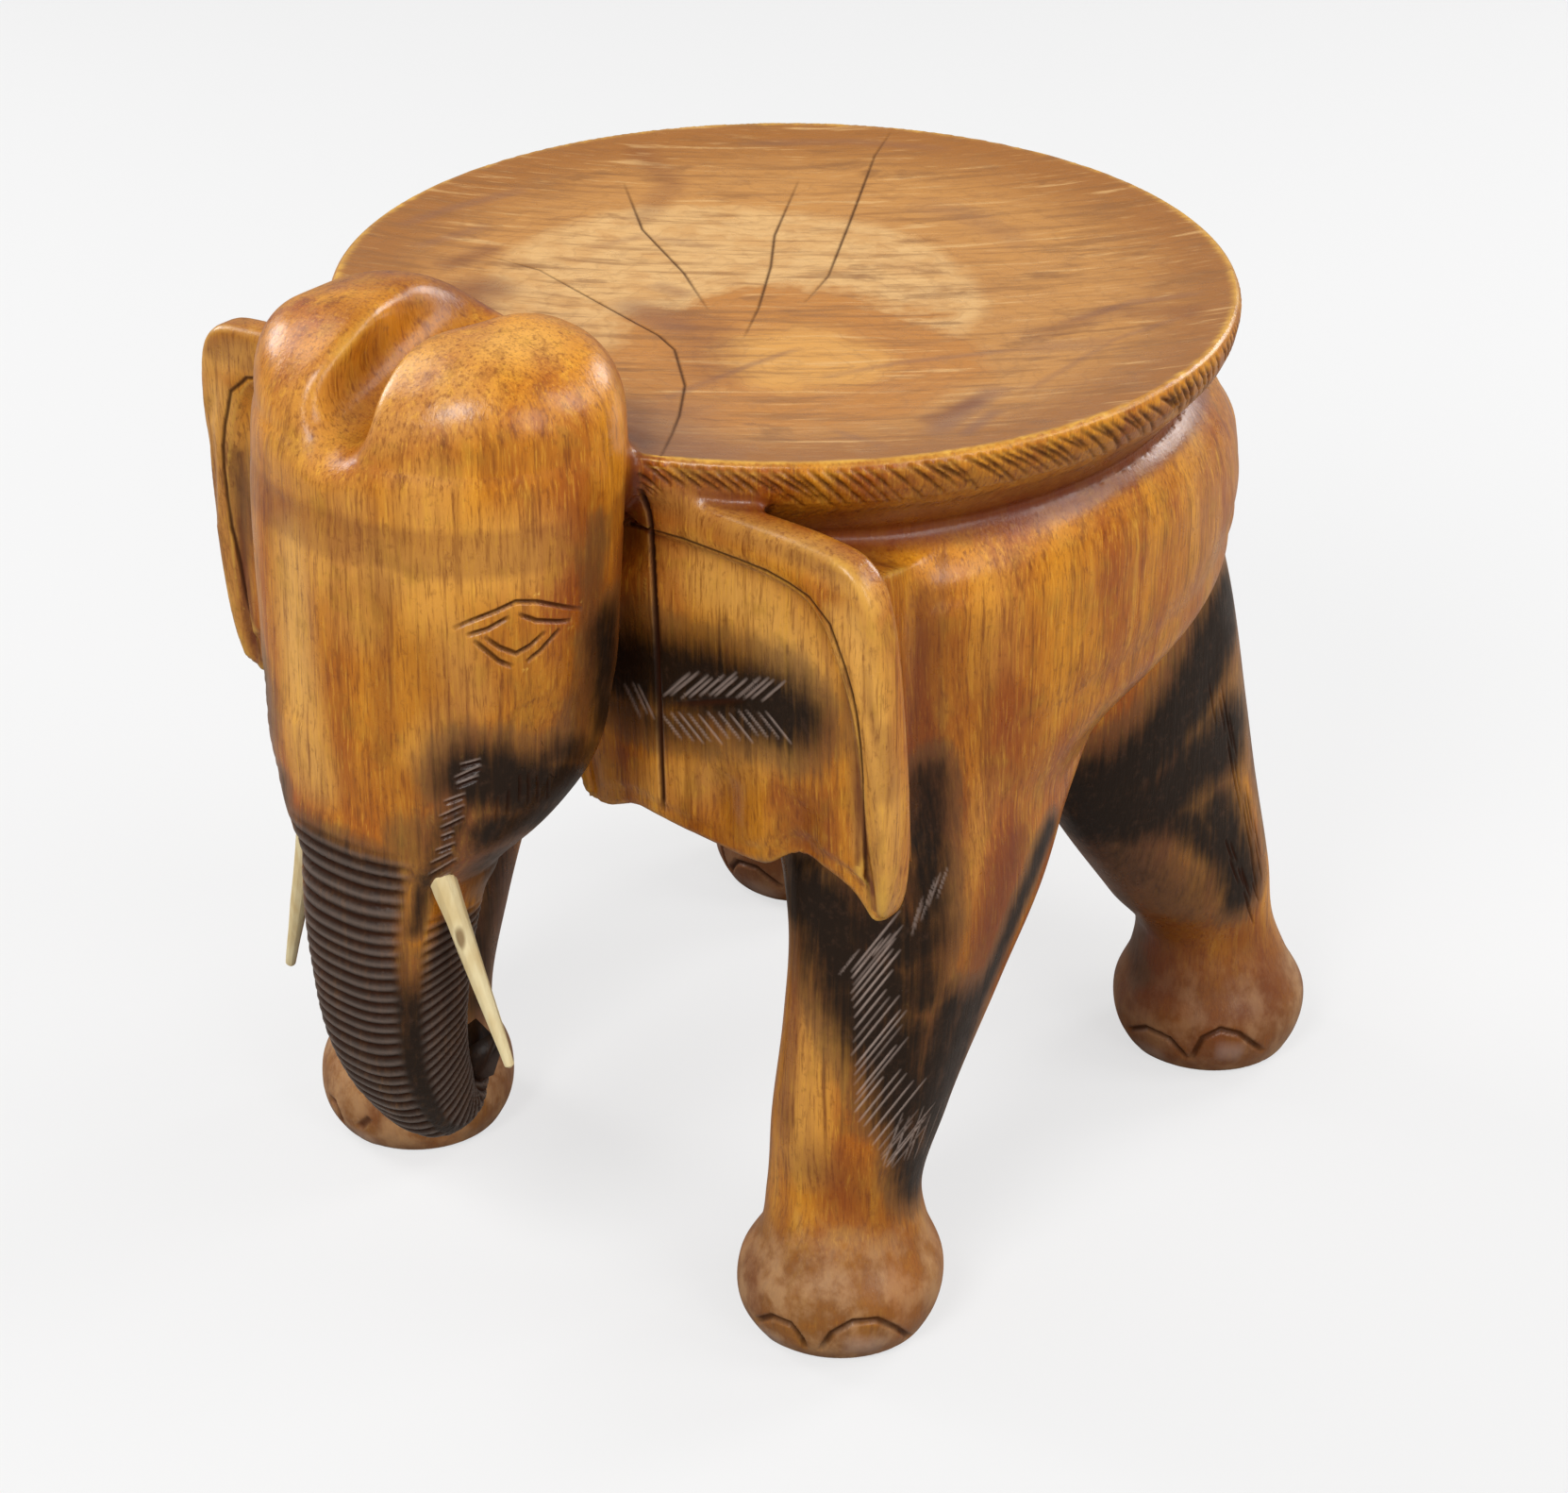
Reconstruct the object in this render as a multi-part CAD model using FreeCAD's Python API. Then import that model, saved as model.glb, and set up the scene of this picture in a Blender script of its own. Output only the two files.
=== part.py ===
"""Carved elephant stool: one log with a dished seat, and two tusks let into drilled sockets.

Front (the head) is -Y, the animal's left is +X, up is +Z. Everything is drawn about the axis of the
seat and moved along Y at the end, so that the origin is the bottom centre of the bounding box.
"""
import FreeCAD, Part
import math
import os

# Driving sizes, in millimetres.
SEAT_HEIGHT = 400.0
SEAT_DIAMETER = 372.0
DISH_DEPTH = 12.0
RIM_BAND = 20.0
RIM_COVE = 20.0
FOOT_DIAMETER = 88.0
FOOT_TRACK = 242.0
FRONT_FOOT = 114.0
HIND_FOOT = 165.0
HEAD_HEIGHT = 453.0
HEAD_WIDTH = 156.0
HEAD_CENTRE = 204.0
EAR_SPAN = 357.0
EAR_FRONT = 165.0
EAR_THICKNESS = 16.0
EAR_RECESS = 5.0
TRUNK_LIFT = 97.0
TUSK_DIAMETER = 11.0
TUSK_TIP_DIAMETER = 4.0
TUSK_PEG = 20.0
SOCKET_CLEARANCE = 0.1
TAIL_WIDTH = 14.0

SEAT_RADIUS = SEAT_DIAMETER / 2
FOOT_RADIUS = FOOT_DIAMETER / 2
HALF_TRACK = FOOT_TRACK / 2
HALF_HEAD = HEAD_WIDTH / 2
HALF_SPAN = EAR_SPAN / 2
BARREL_TOP = SEAT_HEIGHT - RIM_BAND - RIM_COVE
CUT_OVERRUN = EAR_RECESS
LOFT_DEGREE = 3

# Section of the rim, as shares of the band: drop of the lip, then how far the crest stands in from
# the seat radius and the brow stands out from it.
RIM_LIP_SHARE = 0.20
RIM_CREST_SHARE = 0.10
RIM_BROW_SHARE = 0.067
DISH_HALFWAY_SHARE = 0.75

# Leg stations: height and plan position as shares of the seat height and of the foot centre, then
# outer, inner, front and rear reach as shares of the foot radius, then the fullness of the outline.
FRONT_LEG_SHARES = (
    (0.000, 1.00, 1.00, 0.84, 0.82, 0.82, 0.82, 2.0),
    (0.025, 1.00, 1.00, 0.95, 0.93, 0.95, 0.95, 2.0),
    (0.068, 1.00, 1.00, 1.00, 0.93, 0.96, 1.00, 2.0),
    (0.115, 1.00, 0.99, 0.83, 0.72, 0.80, 0.83, 2.0),
    (0.155, 0.99, 0.97, 0.77, 0.69, 0.74, 0.73, 2.0),
    (0.250, 1.00, 0.92, 0.84, 0.68, 0.88, 0.99, 2.0),
    (0.375, 1.02, 0.81, 0.95, 0.62, 1.14, 1.45, 2.1),
    (0.468, 1.02, 0.75, 1.05, 0.57, 1.25, 1.92, 2.2),
    (0.640, 0.96, 0.64, 1.05, 0.90, 1.36, 2.30, 2.2),
    (0.780, 0.83, 0.52, 0.98, 0.80, 1.20, 1.80, 2.2),
)
HIND_LEG_SHARES = (
    (0.000, 1.00, 1.00, 0.84, 0.84, 0.82, 0.82, 2.0),
    (0.025, 1.00, 1.00, 0.95, 0.95, 0.95, 0.95, 2.0),
    (0.068, 1.00, 1.00, 1.00, 1.00, 1.00, 1.00, 2.0),
    (0.115, 1.00, 0.99, 0.83, 0.83, 0.83, 0.81, 2.0),
    (0.155, 0.99, 0.98, 0.73, 0.73, 0.76, 0.70, 2.0),
    (0.250, 0.98, 0.93, 0.74, 0.78, 1.27, 0.69, 2.0),
    (0.375, 0.95, 0.85, 0.75, 0.86, 1.84, 0.77, 2.0),
    (0.468, 0.91, 0.79, 0.82, 0.94, 2.12, 0.84, 2.1),
    (0.620, 0.84, 0.70, 0.93, 0.90, 2.05, 0.93, 2.2),
    (0.780, 0.74, 0.62, 0.95, 0.80, 1.70, 0.95, 2.2),
)
# Barrel stations: height as a share of the barrel top, rise of the rear over the front as a share of
# the same, then centre along Y, half width, front and rear reach as shares of the seat radius, and
# the fullness.
BARREL_SHARES = (
    (0.580, 0.160, 0.10, 0.80, 0.70, 0.74, 2.4),
    (0.625, 0.160, 0.08, 0.89, 0.80, 0.88, 2.4),
    (0.720, 0.120, 0.03, 0.94, 0.87, 0.97, 2.3),
    (0.860, 0.030, 0.02, 0.955, 0.90, 1.00, 2.3),
    (0.960, 0.000, 0.00, 0.95, 0.92, 0.99, 2.2),
    (1.000, 0.000, 0.00, 0.91, 0.90, 0.93, 2.0),
)
BELLY_SHARES = (
    (0.580, 0.000, 0.00, 0.55, 0.45, 0.70, 2.0),
    (0.620, 0.000, 0.00, 0.62, 0.55, 0.80, 2.0),
    (0.850, 0.000, 0.00, 0.62, 0.60, 0.80, 2.0),
)
# Head stations: height as a share of the head height, centre along Y as a share of the head centre,
# half width, front and rear reach as shares of half the head width, fullness.
HEAD_SHARES = (
    (0.515, 1.12, 0.44, 0.42, 0.18, 2.6),
    (0.545, 1.10, 0.62, 0.58, 0.28, 2.6),
    (0.598, 1.05, 0.79, 0.74, 0.52, 2.5),
    (0.684, 1.01, 0.90, 0.85, 0.60, 2.3),
    (0.773, 1.00, 0.97, 0.87, 0.56, 2.2),
    (0.860, 1.00, 1.00, 0.84, 0.62, 2.1),
    (0.925, 1.00, 0.97, 0.78, 0.67, 2.2),
    (0.970, 1.017, 0.87, 0.56, 0.56, 2.4),
    (0.992, 1.017, 0.65, 0.35, 0.35, 2.5),
    (1.000, 1.017, 0.42, 0.14, 0.14, 2.5),
)
# Valley between the two domes: radius at the back and at the brow, then distance ahead of the seat
# axis and height of its floor at both.
VALLEY_RADIUS_SHARE = 0.29
VALLEY_BROW_RADIUS_SHARE = 0.16
VALLEY_BACK_SHARES = (0.84, 0.954)
VALLEY_BROW_SHARES = (1.29, 0.911)
VALLEY_LEAD_SHARE = 0.5
VALLEY_RUN_SHARE = 2.0
# Trunk stations along its path: forward distance from the seat axis as a share of the head centre,
# height as a share of the head height, half width and half depth as shares of half the head width,
# fullness.
TRUNK_SHARES = (
    (1.050, 0.640, 0.36, 0.36, 2.4),
    (1.130, 0.570, 0.44, 0.44, 2.6),
    (1.186, 0.505, 0.43, 0.40, 2.8),
    (1.209, 0.420, 0.38, 0.35, 2.8),
    (1.200, 0.345, 0.34, 0.31, 2.6),
    (1.165, 0.295, 0.30, 0.27, 2.4),
    (1.105, 0.253, 0.24, 0.21, 2.2),
    (1.045, 0.243, 0.17, 0.14, 2.0),
    (0.985, 0.256, 0.08, 0.06, 2.0),
)
# Ear outline, across as a share of half the ear span and up as a share of the seat height.
EAR_OUTLINE_SHARES = (
    (0.300, 0.975),
    (0.560, 0.977),
    (0.800, 0.968),
    (0.930, 0.945),
    (0.985, 0.885),
    (1.000, 0.760),
    (0.996, 0.650),
    (0.975, 0.580),
    (0.930, 0.560),
    (0.860, 0.590),
    (0.760, 0.603),
    (0.640, 0.580),
    (0.480, 0.588),
    (0.300, 0.620),
)
# Bowl inside the rolled edge of the ear, open toward the head and the lower edge.
EAR_BOWL_SHARES = (
    (0.440, 0.950),
    (0.760, 0.925),
    (0.890, 0.860),
    (0.915, 0.740),
    (0.890, 0.620),
    (0.860, 0.540),
    (0.440, 0.540),
)
EAR_ROOT_REACH_SHARE = 0.60
EAR_ROOT_SHARE = 0.84
EAR_HEEL_SHARE = 0.66
EAR_EDGE_SHARE = 0.96
# Point that the ear is scaled about: across as a share of half the span, up as a share of the seat
# height. Then the depth of its eased edge, and where its root starts, as shares of its thickness.
EAR_MIDDLE_SHARES = (0.50, 0.75)
EAR_EASE_SHARE = 0.25
EAR_ROOT_START_SHARE = 0.50
# Tusk: tip, and the point where it leaves the head, as shares of half the head width, of the head
# centre and of the head height.
TUSK_TIP_SHARES = (0.77, 1.200, 0.361)
TUSK_ROOT_SHARES = (0.455, 1.235, 0.532)
DRILL_LENGTH_SHARE = 2.0
# Tail stations: height as a share of the barrel top, half width and half depth as shares of its
# width, and how far it stands out from its root as a share of the seat radius.
TAIL_ROOT_SHARE = 0.955
TAIL_SHARES = (
    (0.940, 0.45, 0.50, 0.030),
    (0.880, 0.42, 0.50, 0.035),
    (0.820, 0.40, 0.50, 0.035),
    (0.790, 0.62, 0.60, 0.030),
    (0.760, 0.60, 0.60, 0.015),
    (0.740, 0.20, 0.30, 0.000),
)


def quarter(start, middle, end, first, last):
    """Quarter of an outline through three points, square to the axes at its ends."""
    curve = Part.BSplineCurve()
    curve.interpolate(Points=[start, middle, end], InitialTangent=first, FinalTangent=last)
    return curve.toShape()


def outline(centre, across, along, outer, inner, front, rear, fullness):
    """Four quarters about a centre; a fullness of two gives an ellipse, more a squarer outline."""
    slant = 2 ** (-1 / fullness)
    reach = ((outer, across), (rear, along), (-inner, across), (-front, along))
    ends = [centre + way * size for size, way in reach]
    edges = []
    for index, (size, way) in enumerate(reach):
        after, turn = reach[(index + 1) % len(reach)]
        middle = centre + way * (size * slant) + turn * (after * slant)
        end = ends[(index + 1) % len(reach)]
        edges.append(quarter(ends[index], middle, end, turn * after * math.pi / 2,
                             way * -size * math.pi / 2))
    return Part.Wire(edges)


def ring(centre, outer, inner, front, rear, fullness, lift=0.0):
    """Closed outline in plan; lift is how far its rear end stands above its front end."""
    along = FreeCAD.Vector(0, 1, lift / (front + rear))
    centre = centre + FreeCAD.Vector(0, 0, lift / 2)
    return outline(centre, FreeCAD.Vector(1, 0, 0), along, outer, inner, front, rear, fullness)


def closed(points):
    curve = Part.BSplineCurve()
    curve.interpolate(Points=points, PeriodicFlag=True)
    return Part.Wire(curve.toShape())


def lofted(rings):
    return Part.makeLoft(rings, True, False, False, LOFT_DEGREE)


def mirrored(shape):
    return shape.mirror(FreeCAD.Vector(), FreeCAD.Vector(1, 0, 0))


def leg(stations, foot_y):
    rings = []
    for up, across, along, outer, inner, front, rear, fullness in stations:
        centre = FreeCAD.Vector(across * HALF_TRACK, along * foot_y, up * SEAT_HEIGHT)
        reach = [share * FOOT_RADIUS for share in (outer, inner, front, rear)]
        rings.append(ring(centre, *reach, fullness))
    return lofted(rings)


def barrel(stations):
    rings = []
    for up, rise, along, half, front, rear, fullness in stations:
        centre = FreeCAD.Vector(0, along * SEAT_RADIUS, up * BARREL_TOP)
        width = half * SEAT_RADIUS
        rings.append(ring(centre, width, width, front * SEAT_RADIUS, rear * SEAT_RADIUS, fullness,
                          rise * BARREL_TOP))
    return lofted(rings)


def seat():
    """Dished disc with a gouged band round its edge and a cove under the band."""
    top = SEAT_HEIGHT
    edge = SEAT_RADIUS
    lip = RIM_BAND * RIM_LIP_SHARE
    waist = edge - RIM_COVE
    low = BARREL_TOP - RIM_COVE
    crest = FreeCAD.Vector(edge - RIM_BAND * RIM_CREST_SHARE, 0, top)
    brow = FreeCAD.Vector(edge + RIM_BAND * RIM_BROW_SHARE, 0, top - lip)
    heel = FreeCAD.Vector(edge, 0, top - RIM_BAND)
    cove = FreeCAD.Vector(waist, 0, top - RIM_BAND - RIM_COVE / 2)
    foot = FreeCAD.Vector(waist, 0, low)
    centre = FreeCAD.Vector(0, 0, top - DISH_DEPTH)
    halfway = FreeCAD.Vector(edge / 2, 0, top - DISH_DEPTH * DISH_HALFWAY_SHARE)
    edges = [
        Part.Arc(centre, halfway, crest).toShape(),
        Part.makeLine(crest, brow),
        Part.makeLine(brow, heel),
        Part.makeLine(heel, cove),
        Part.makeLine(cove, foot),
        Part.makeLine(foot, FreeCAD.Vector(0, 0, low)),
        Part.makeLine(FreeCAD.Vector(0, 0, low), centre),
    ]
    face = Part.Face(Part.Wire(edges))
    return face.revolve(FreeCAD.Vector(), FreeCAD.Vector(0, 0, 1), 360)


def head():
    rings = []
    for up, along, half, front, rear, fullness in HEAD_SHARES:
        centre = FreeCAD.Vector(0, -along * HEAD_CENTRE, up * HEAD_HEIGHT)
        width = half * HALF_HEAD
        rings.append(ring(centre, width, width, front * HALF_HEAD, rear * HALF_HEAD, fullness))
    return lofted(rings)


def valley():
    """Round tapered cutter laid between the domes, sloping down to the brow."""
    wide = VALLEY_RADIUS_SHARE * HALF_HEAD
    narrow = VALLEY_BROW_RADIUS_SHARE * HALF_HEAD
    back, brow = [FreeCAD.Vector(0, -out * HEAD_CENTRE, up * HEAD_HEIGHT + radius)
                  for (out, up), radius in ((VALLEY_BACK_SHARES, wide), (VALLEY_BROW_SHARES, narrow))]
    along = brow - back
    start = back - along * VALLEY_LEAD_SHARE
    first = wide + (wide - narrow) * VALLEY_LEAD_SHARE
    last = first - (wide - narrow) * VALLEY_RUN_SHARE
    return Part.makeCone(first, last, along.Length * VALLEY_RUN_SHARE, start, along)


def trunk():
    """Tapering tube square to its path, which hangs in front and curls back toward the legs."""
    path = [FreeCAD.Vector(0, -row[0] * HEAD_CENTRE, row[1] * HEAD_HEIGHT) for row in TRUNK_SHARES]
    lowest = min(point.z - row[3] * HALF_HEAD for point, row in zip(path, TRUNK_SHARES))
    drop = TRUNK_LIFT - lowest
    top, bottom = path[0].z, min(point.z for point in path)
    for point in path:
        point.z += drop * (top - point.z) / (top - bottom)
    rings = []
    for index, row in enumerate(TRUNK_SHARES):
        before = path[max(index - 1, 0)]
        after = path[min(index + 1, len(path) - 1)]
        along = (after - before).normalize()
        across = FreeCAD.Vector(1, 0, 0)
        outward = across.cross(along)
        width, depth, fullness = row[2] * HALF_HEAD, row[3] * HALF_HEAD, row[4]
        rings.append(outline(path[index], across, outward, width, width, depth, depth, fullness))
    return lofted(rings)


def ear_wire(shares, y, scale):
    middle = FreeCAD.Vector(EAR_MIDDLE_SHARES[0] * HALF_SPAN, 0, EAR_MIDDLE_SHARES[1] * SEAT_HEIGHT)
    points = []
    for across, up in shares:
        point = FreeCAD.Vector(across * HALF_SPAN, 0, up * SEAT_HEIGHT)
        point = middle + (point - middle) * scale
        points.append(FreeCAD.Vector(point.x, y, point.z))
    return closed(points)


def ear():
    """Flap with an eased front edge, a bowl inside the edge, and a root that runs into the shoulder."""
    front = -EAR_FRONT
    ease = EAR_THICKNESS * EAR_EASE_SHARE
    root_front = front + EAR_THICKNESS * EAR_ROOT_START_SHARE
    eased = Part.makeLoft([
        ear_wire(EAR_OUTLINE_SHARES, front, EAR_EDGE_SHARE),
        ear_wire(EAR_OUTLINE_SHARES, front + ease, 1.0),
    ], True, True)
    flap = Part.Face(ear_wire(EAR_OUTLINE_SHARES, front + ease, 1.0))
    flap = flap.extrude(FreeCAD.Vector(0, EAR_THICKNESS - ease, 0))
    root = Part.makeLoft([
        ear_wire(EAR_OUTLINE_SHARES, root_front, EAR_ROOT_SHARE),
        ear_wire(EAR_OUTLINE_SHARES, front + EAR_FRONT * EAR_ROOT_REACH_SHARE, EAR_HEEL_SHARE),
    ], True, True)
    corners = [FreeCAD.Vector(across * HALF_SPAN, front - CUT_OVERRUN, up * SEAT_HEIGHT)
               for across, up in EAR_BOWL_SHARES]
    bowl = Part.Face(Part.makePolygon(corners + corners[:1]))
    bowl = bowl.extrude(FreeCAD.Vector(0, CUT_OVERRUN + EAR_RECESS, 0))
    return eased.fuse(flap).fuse(root).cut(bowl)


def tusk(grow=0.0):
    """Whittled peg: straight in its socket, then tapering to a blunt tip; grow makes the drill."""
    def point(shares):
        return FreeCAD.Vector(shares[0] * HALF_HEAD, -shares[1] * HEAD_CENTRE, shares[2] * HEAD_HEIGHT)
    tip = point(TUSK_TIP_SHARES)
    root = point(TUSK_ROOT_SHARES)
    along = (tip - root).normalize()
    start = root - along * TUSK_PEG
    if grow:
        length = TUSK_PEG * DRILL_LENGTH_SHARE + grow
        return Part.makeCylinder(TUSK_DIAMETER / 2 + grow, length, start - along * grow, along)
    peg = Part.makeCylinder(TUSK_DIAMETER / 2, TUSK_PEG, start, along)
    blade = Part.makeCone(TUSK_DIAMETER / 2, TUSK_TIP_DIAMETER / 2, (tip - root).Length, root, along)
    return peg.fuse(blade).removeSplitter()


def tail():
    rings = []
    for up, half, deep, out in TAIL_SHARES:
        centre = FreeCAD.Vector(0, SEAT_RADIUS * (TAIL_ROOT_SHARE + out), up * BARREL_TOP)
        rings.append(ring(centre, half * TAIL_WIDTH, half * TAIL_WIDTH, deep * TAIL_WIDTH,
                          deep * TAIL_WIDTH, 2.0))
    return lofted(rings)


def build():
    fore = leg(FRONT_LEG_SHARES, -FRONT_FOOT)
    hind = leg(HIND_LEG_SHARES, HIND_FOOT)
    flap = ear()
    legs = [fore, mirrored(fore), hind, mirrored(hind)]
    body = barrel(BARREL_SHARES).multiFuse([barrel(BELLY_SHARES)] + legs)
    for shape in (seat(), tail(), head().cut(valley()), trunk(), flap, mirrored(flap)):
        body = body.fuse(shape)
    drill = tusk(SOCKET_CLEARANCE)
    return body.cut(drill).cut(mirrored(drill))


if __name__ == "__main__":
    body = build()
    box = body.optimalBoundingBox(False)
    shift = FreeCAD.Vector(0, -(box.YMin + box.YMax) / 2, 0)
    left = tusk()
    right = mirrored(left)
    os.makedirs("parts", exist_ok=True)
    for name, shape in (("carved_body", body), ("left_tusk", left), ("right_tusk", right)):
        shape.translate(shift)
        shape.exportStep("parts/" + name + ".step")
        print(name, shape.isValid(), len(shape.Solids), round(shape.Volume), shape.BoundBox)
    print("shift", shift)
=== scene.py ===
"""Carved elephant stool: one log with a dished seat, and two pale tusks let into it.

The log is roughed out from simple forms, joined, and then cut back to its smooth shape. The gouge work
is cut along strokes, and scorched and rubbed places, with painted shade and painted highlights, are
painted as attributes that the finish reads.
Shapes are worked in millimetres about the axis of the seat, and kept in metres in the frame's place.
"""
import math

import bpy
import numpy as np
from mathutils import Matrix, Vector


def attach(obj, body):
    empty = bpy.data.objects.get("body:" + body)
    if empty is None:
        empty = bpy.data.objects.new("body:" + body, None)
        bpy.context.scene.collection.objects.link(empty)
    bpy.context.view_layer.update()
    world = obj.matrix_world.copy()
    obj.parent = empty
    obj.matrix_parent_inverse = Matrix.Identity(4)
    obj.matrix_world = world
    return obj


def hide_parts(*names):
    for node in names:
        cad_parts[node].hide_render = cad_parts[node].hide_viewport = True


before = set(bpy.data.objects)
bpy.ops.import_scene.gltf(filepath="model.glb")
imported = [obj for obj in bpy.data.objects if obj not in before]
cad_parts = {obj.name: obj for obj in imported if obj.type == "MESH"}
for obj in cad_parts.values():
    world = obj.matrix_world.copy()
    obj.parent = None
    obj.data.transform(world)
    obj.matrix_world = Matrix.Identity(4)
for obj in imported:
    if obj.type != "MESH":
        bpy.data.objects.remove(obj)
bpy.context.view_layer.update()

bl_info = {
    "name": "Carved elephant stool",
    "version": (1, 0, 0),
    "blender": (4, 5, 0),
    "location": "View3D > Sidebar > Stool",
    "description": "Carves a round elephant stool from one log, with a dished seat and two pale tusks",
    "category": "Add Mesh",
}

SEAT_AXIS_Y = 31.786
MM = 0.001

# The camera, in millimetres from the floor under the middle of the seat, and the photograph's frame.
CAMERA_PLACE = np.array([966.4, -1196.5, 1017.4])
CAMERA_YAW = math.radians(38.94)
CAMERA_PITCH = math.radians(28.56)
PHOTO_FOCAL = 4245.0
PHOTO_WIDTH = 1662.0
PHOTO_HEIGHT = 1582.0
SENSOR_WIDTH = 36.0

# Leg stations: height and plan position as shares of the seat height and of the foot centre, then
# outer, inner, front and rear reach as shares of the foot radius, then the fullness of the outline.
FRONT_LEG_SHARES = (
    (0.000, 1.00, 1.00, 0.84, 0.82, 0.82, 0.82, 2.0),
    (0.025, 1.00, 1.00, 0.95, 0.93, 0.95, 0.95, 2.0),
    (0.068, 1.00, 1.00, 1.00, 0.93, 0.96, 1.00, 2.0),
    (0.115, 1.00, 0.99, 0.83, 0.72, 0.80, 0.83, 2.0),
    (0.155, 0.99, 0.97, 0.77, 0.69, 0.74, 0.73, 2.0),
    (0.250, 1.00, 0.92, 0.84, 0.68, 0.88, 0.99, 2.0),
    (0.375, 1.02, 0.81, 0.95, 0.62, 1.14, 1.45, 2.1),
    (0.468, 1.02, 0.75, 1.05, 0.57, 1.25, 1.92, 2.2),
    (0.640, 0.96, 0.64, 1.05, 0.90, 1.36, 2.30, 2.2),
    (0.780, 0.83, 0.52, 0.98, 0.80, 1.20, 1.80, 2.2),
)
HIND_LEG_SHARES = (
    (0.000, 1.00, 1.00, 0.84, 0.84, 0.82, 0.82, 2.0),
    (0.025, 1.00, 1.00, 0.95, 0.95, 0.95, 0.95, 2.0),
    (0.068, 1.00, 1.00, 1.00, 1.00, 1.00, 1.00, 2.0),
    (0.115, 1.00, 0.99, 0.83, 0.83, 0.83, 0.81, 2.0),
    (0.155, 0.99, 0.98, 0.73, 0.73, 0.76, 0.70, 2.0),
    (0.250, 0.98, 0.93, 0.74, 0.78, 1.27, 0.69, 2.0),
    (0.375, 0.95, 0.85, 0.75, 0.86, 1.84, 0.77, 2.0),
    (0.468, 0.91, 0.79, 0.82, 0.94, 2.12, 0.84, 2.1),
    (0.620, 0.84, 0.70, 0.93, 0.90, 2.05, 0.93, 2.2),
    (0.780, 0.74, 0.62, 0.95, 0.80, 1.70, 0.95, 2.2),
)
# Barrel stations: height as a share of the barrel top, rise of the rear over the front as a share of
# the same, then centre along Y, half width, front and rear reach as shares of the seat radius, and
# the fullness.
BARREL_SHARES = (
    (0.580, 0.160, 0.10, 0.80, 0.70, 0.74, 2.4),
    (0.625, 0.160, 0.08, 0.89, 0.80, 0.88, 2.4),
    (0.720, 0.120, 0.03, 0.94, 0.87, 0.97, 2.3),
    (0.860, 0.030, 0.02, 0.955, 0.90, 1.00, 2.3),
    (0.920, 0.020, 0.01, 0.955, 0.92, 0.99, 2.2),
    (0.955, 0.020, 0.00, 0.940, 0.92, 0.97, 2.1),
    (0.980, 0.020, 0.00, 0.915, 0.90, 0.94, 2.0),
    (1.000, 0.020, 0.00, 0.870, 0.86, 0.90, 2.0),
)
BELLY_SHARES = (
    (0.580, 0.000, 0.00, 0.55, 0.45, 0.70, 2.0),
    (0.620, 0.000, 0.00, 0.62, 0.55, 0.80, 2.0),
    (0.850, 0.000, 0.00, 0.62, 0.60, 0.80, 2.0),
)
# Head stations: height as a share of the head height, centre along Y as a share of the head centre,
# half width, front and rear reach as shares of half the head width, fullness.
HEAD_SHARES = (
    (0.520, 1.12, 0.40, 0.42, 0.18, 2.6),
    (0.548, 1.10, 0.60, 0.58, 0.28, 2.6),
    (0.598, 1.05, 0.79, 0.74, 0.52, 2.5),
    (0.684, 1.01, 0.90, 0.85, 0.60, 2.3),
    (0.773, 1.00, 0.97, 0.87, 0.56, 2.2),
    (0.860, 1.00, 1.00, 0.84, 0.62, 2.1),
    (0.925, 0.99, 0.98, 0.80, 0.66, 2.0),
    (0.970, 0.98, 0.86, 0.49, 0.42, 2.2),
    (0.992, 0.97, 0.68, 0.30, 0.30, 2.2),
    (1.000, 0.96, 0.50, 0.12, 0.14, 2.2),
)
# Crown over the head: the height above which its sides go straight up, the distance of its middle
# ahead of the seat axis, the half width and half depth of its flat top, and how fast it falls away
# from there across and along.
CROWN_LEVEL_SHARE = 0.915
CROWN_PLACE_SHARE = 1.017
CROWN_WIDE_SHARE = 0.376
CROWN_FLAT_DEPTH = 9.4
CROWN_FALL_ACROSS = 0.0080
CROWN_FALL_ALONG = 0.0116
# Valley between the domes: radius at the back and at the brow as shares of half the head width, then
# distance ahead of the seat axis and height of its floor at both, and how far on it keeps narrowing.
VALLEY_RADIUS_SHARE = 0.28
VALLEY_BROW_RADIUS_SHARE = 0.15
VALLEY_BACK_SHARES = (0.84, 0.954)
VALLEY_BROW_SHARES = (1.29, 0.900)
VALLEY_RUN_ON = 1.2
ROUGH_VALLEY_SHARE = 0.85
# Trunk stations along its path: forward distance from the seat axis as a share of the head centre,
# height as a share of the head height, half width and half depth as shares of half the head width,
# fullness.
TRUNK_SHARES = (
    (1.050, 0.640, 0.36, 0.36, 2.4),
    (1.130, 0.570, 0.44, 0.44, 2.6),
    (1.186, 0.505, 0.43, 0.40, 2.8),
    (1.209, 0.420, 0.38, 0.35, 2.8),
    (1.200, 0.345, 0.34, 0.31, 2.6),
    (1.165, 0.295, 0.30, 0.27, 2.4),
    (1.105, 0.253, 0.24, 0.21, 2.2),
    (1.045, 0.243, 0.17, 0.14, 2.0),
    (0.985, 0.256, 0.08, 0.06, 2.0),
)
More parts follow.
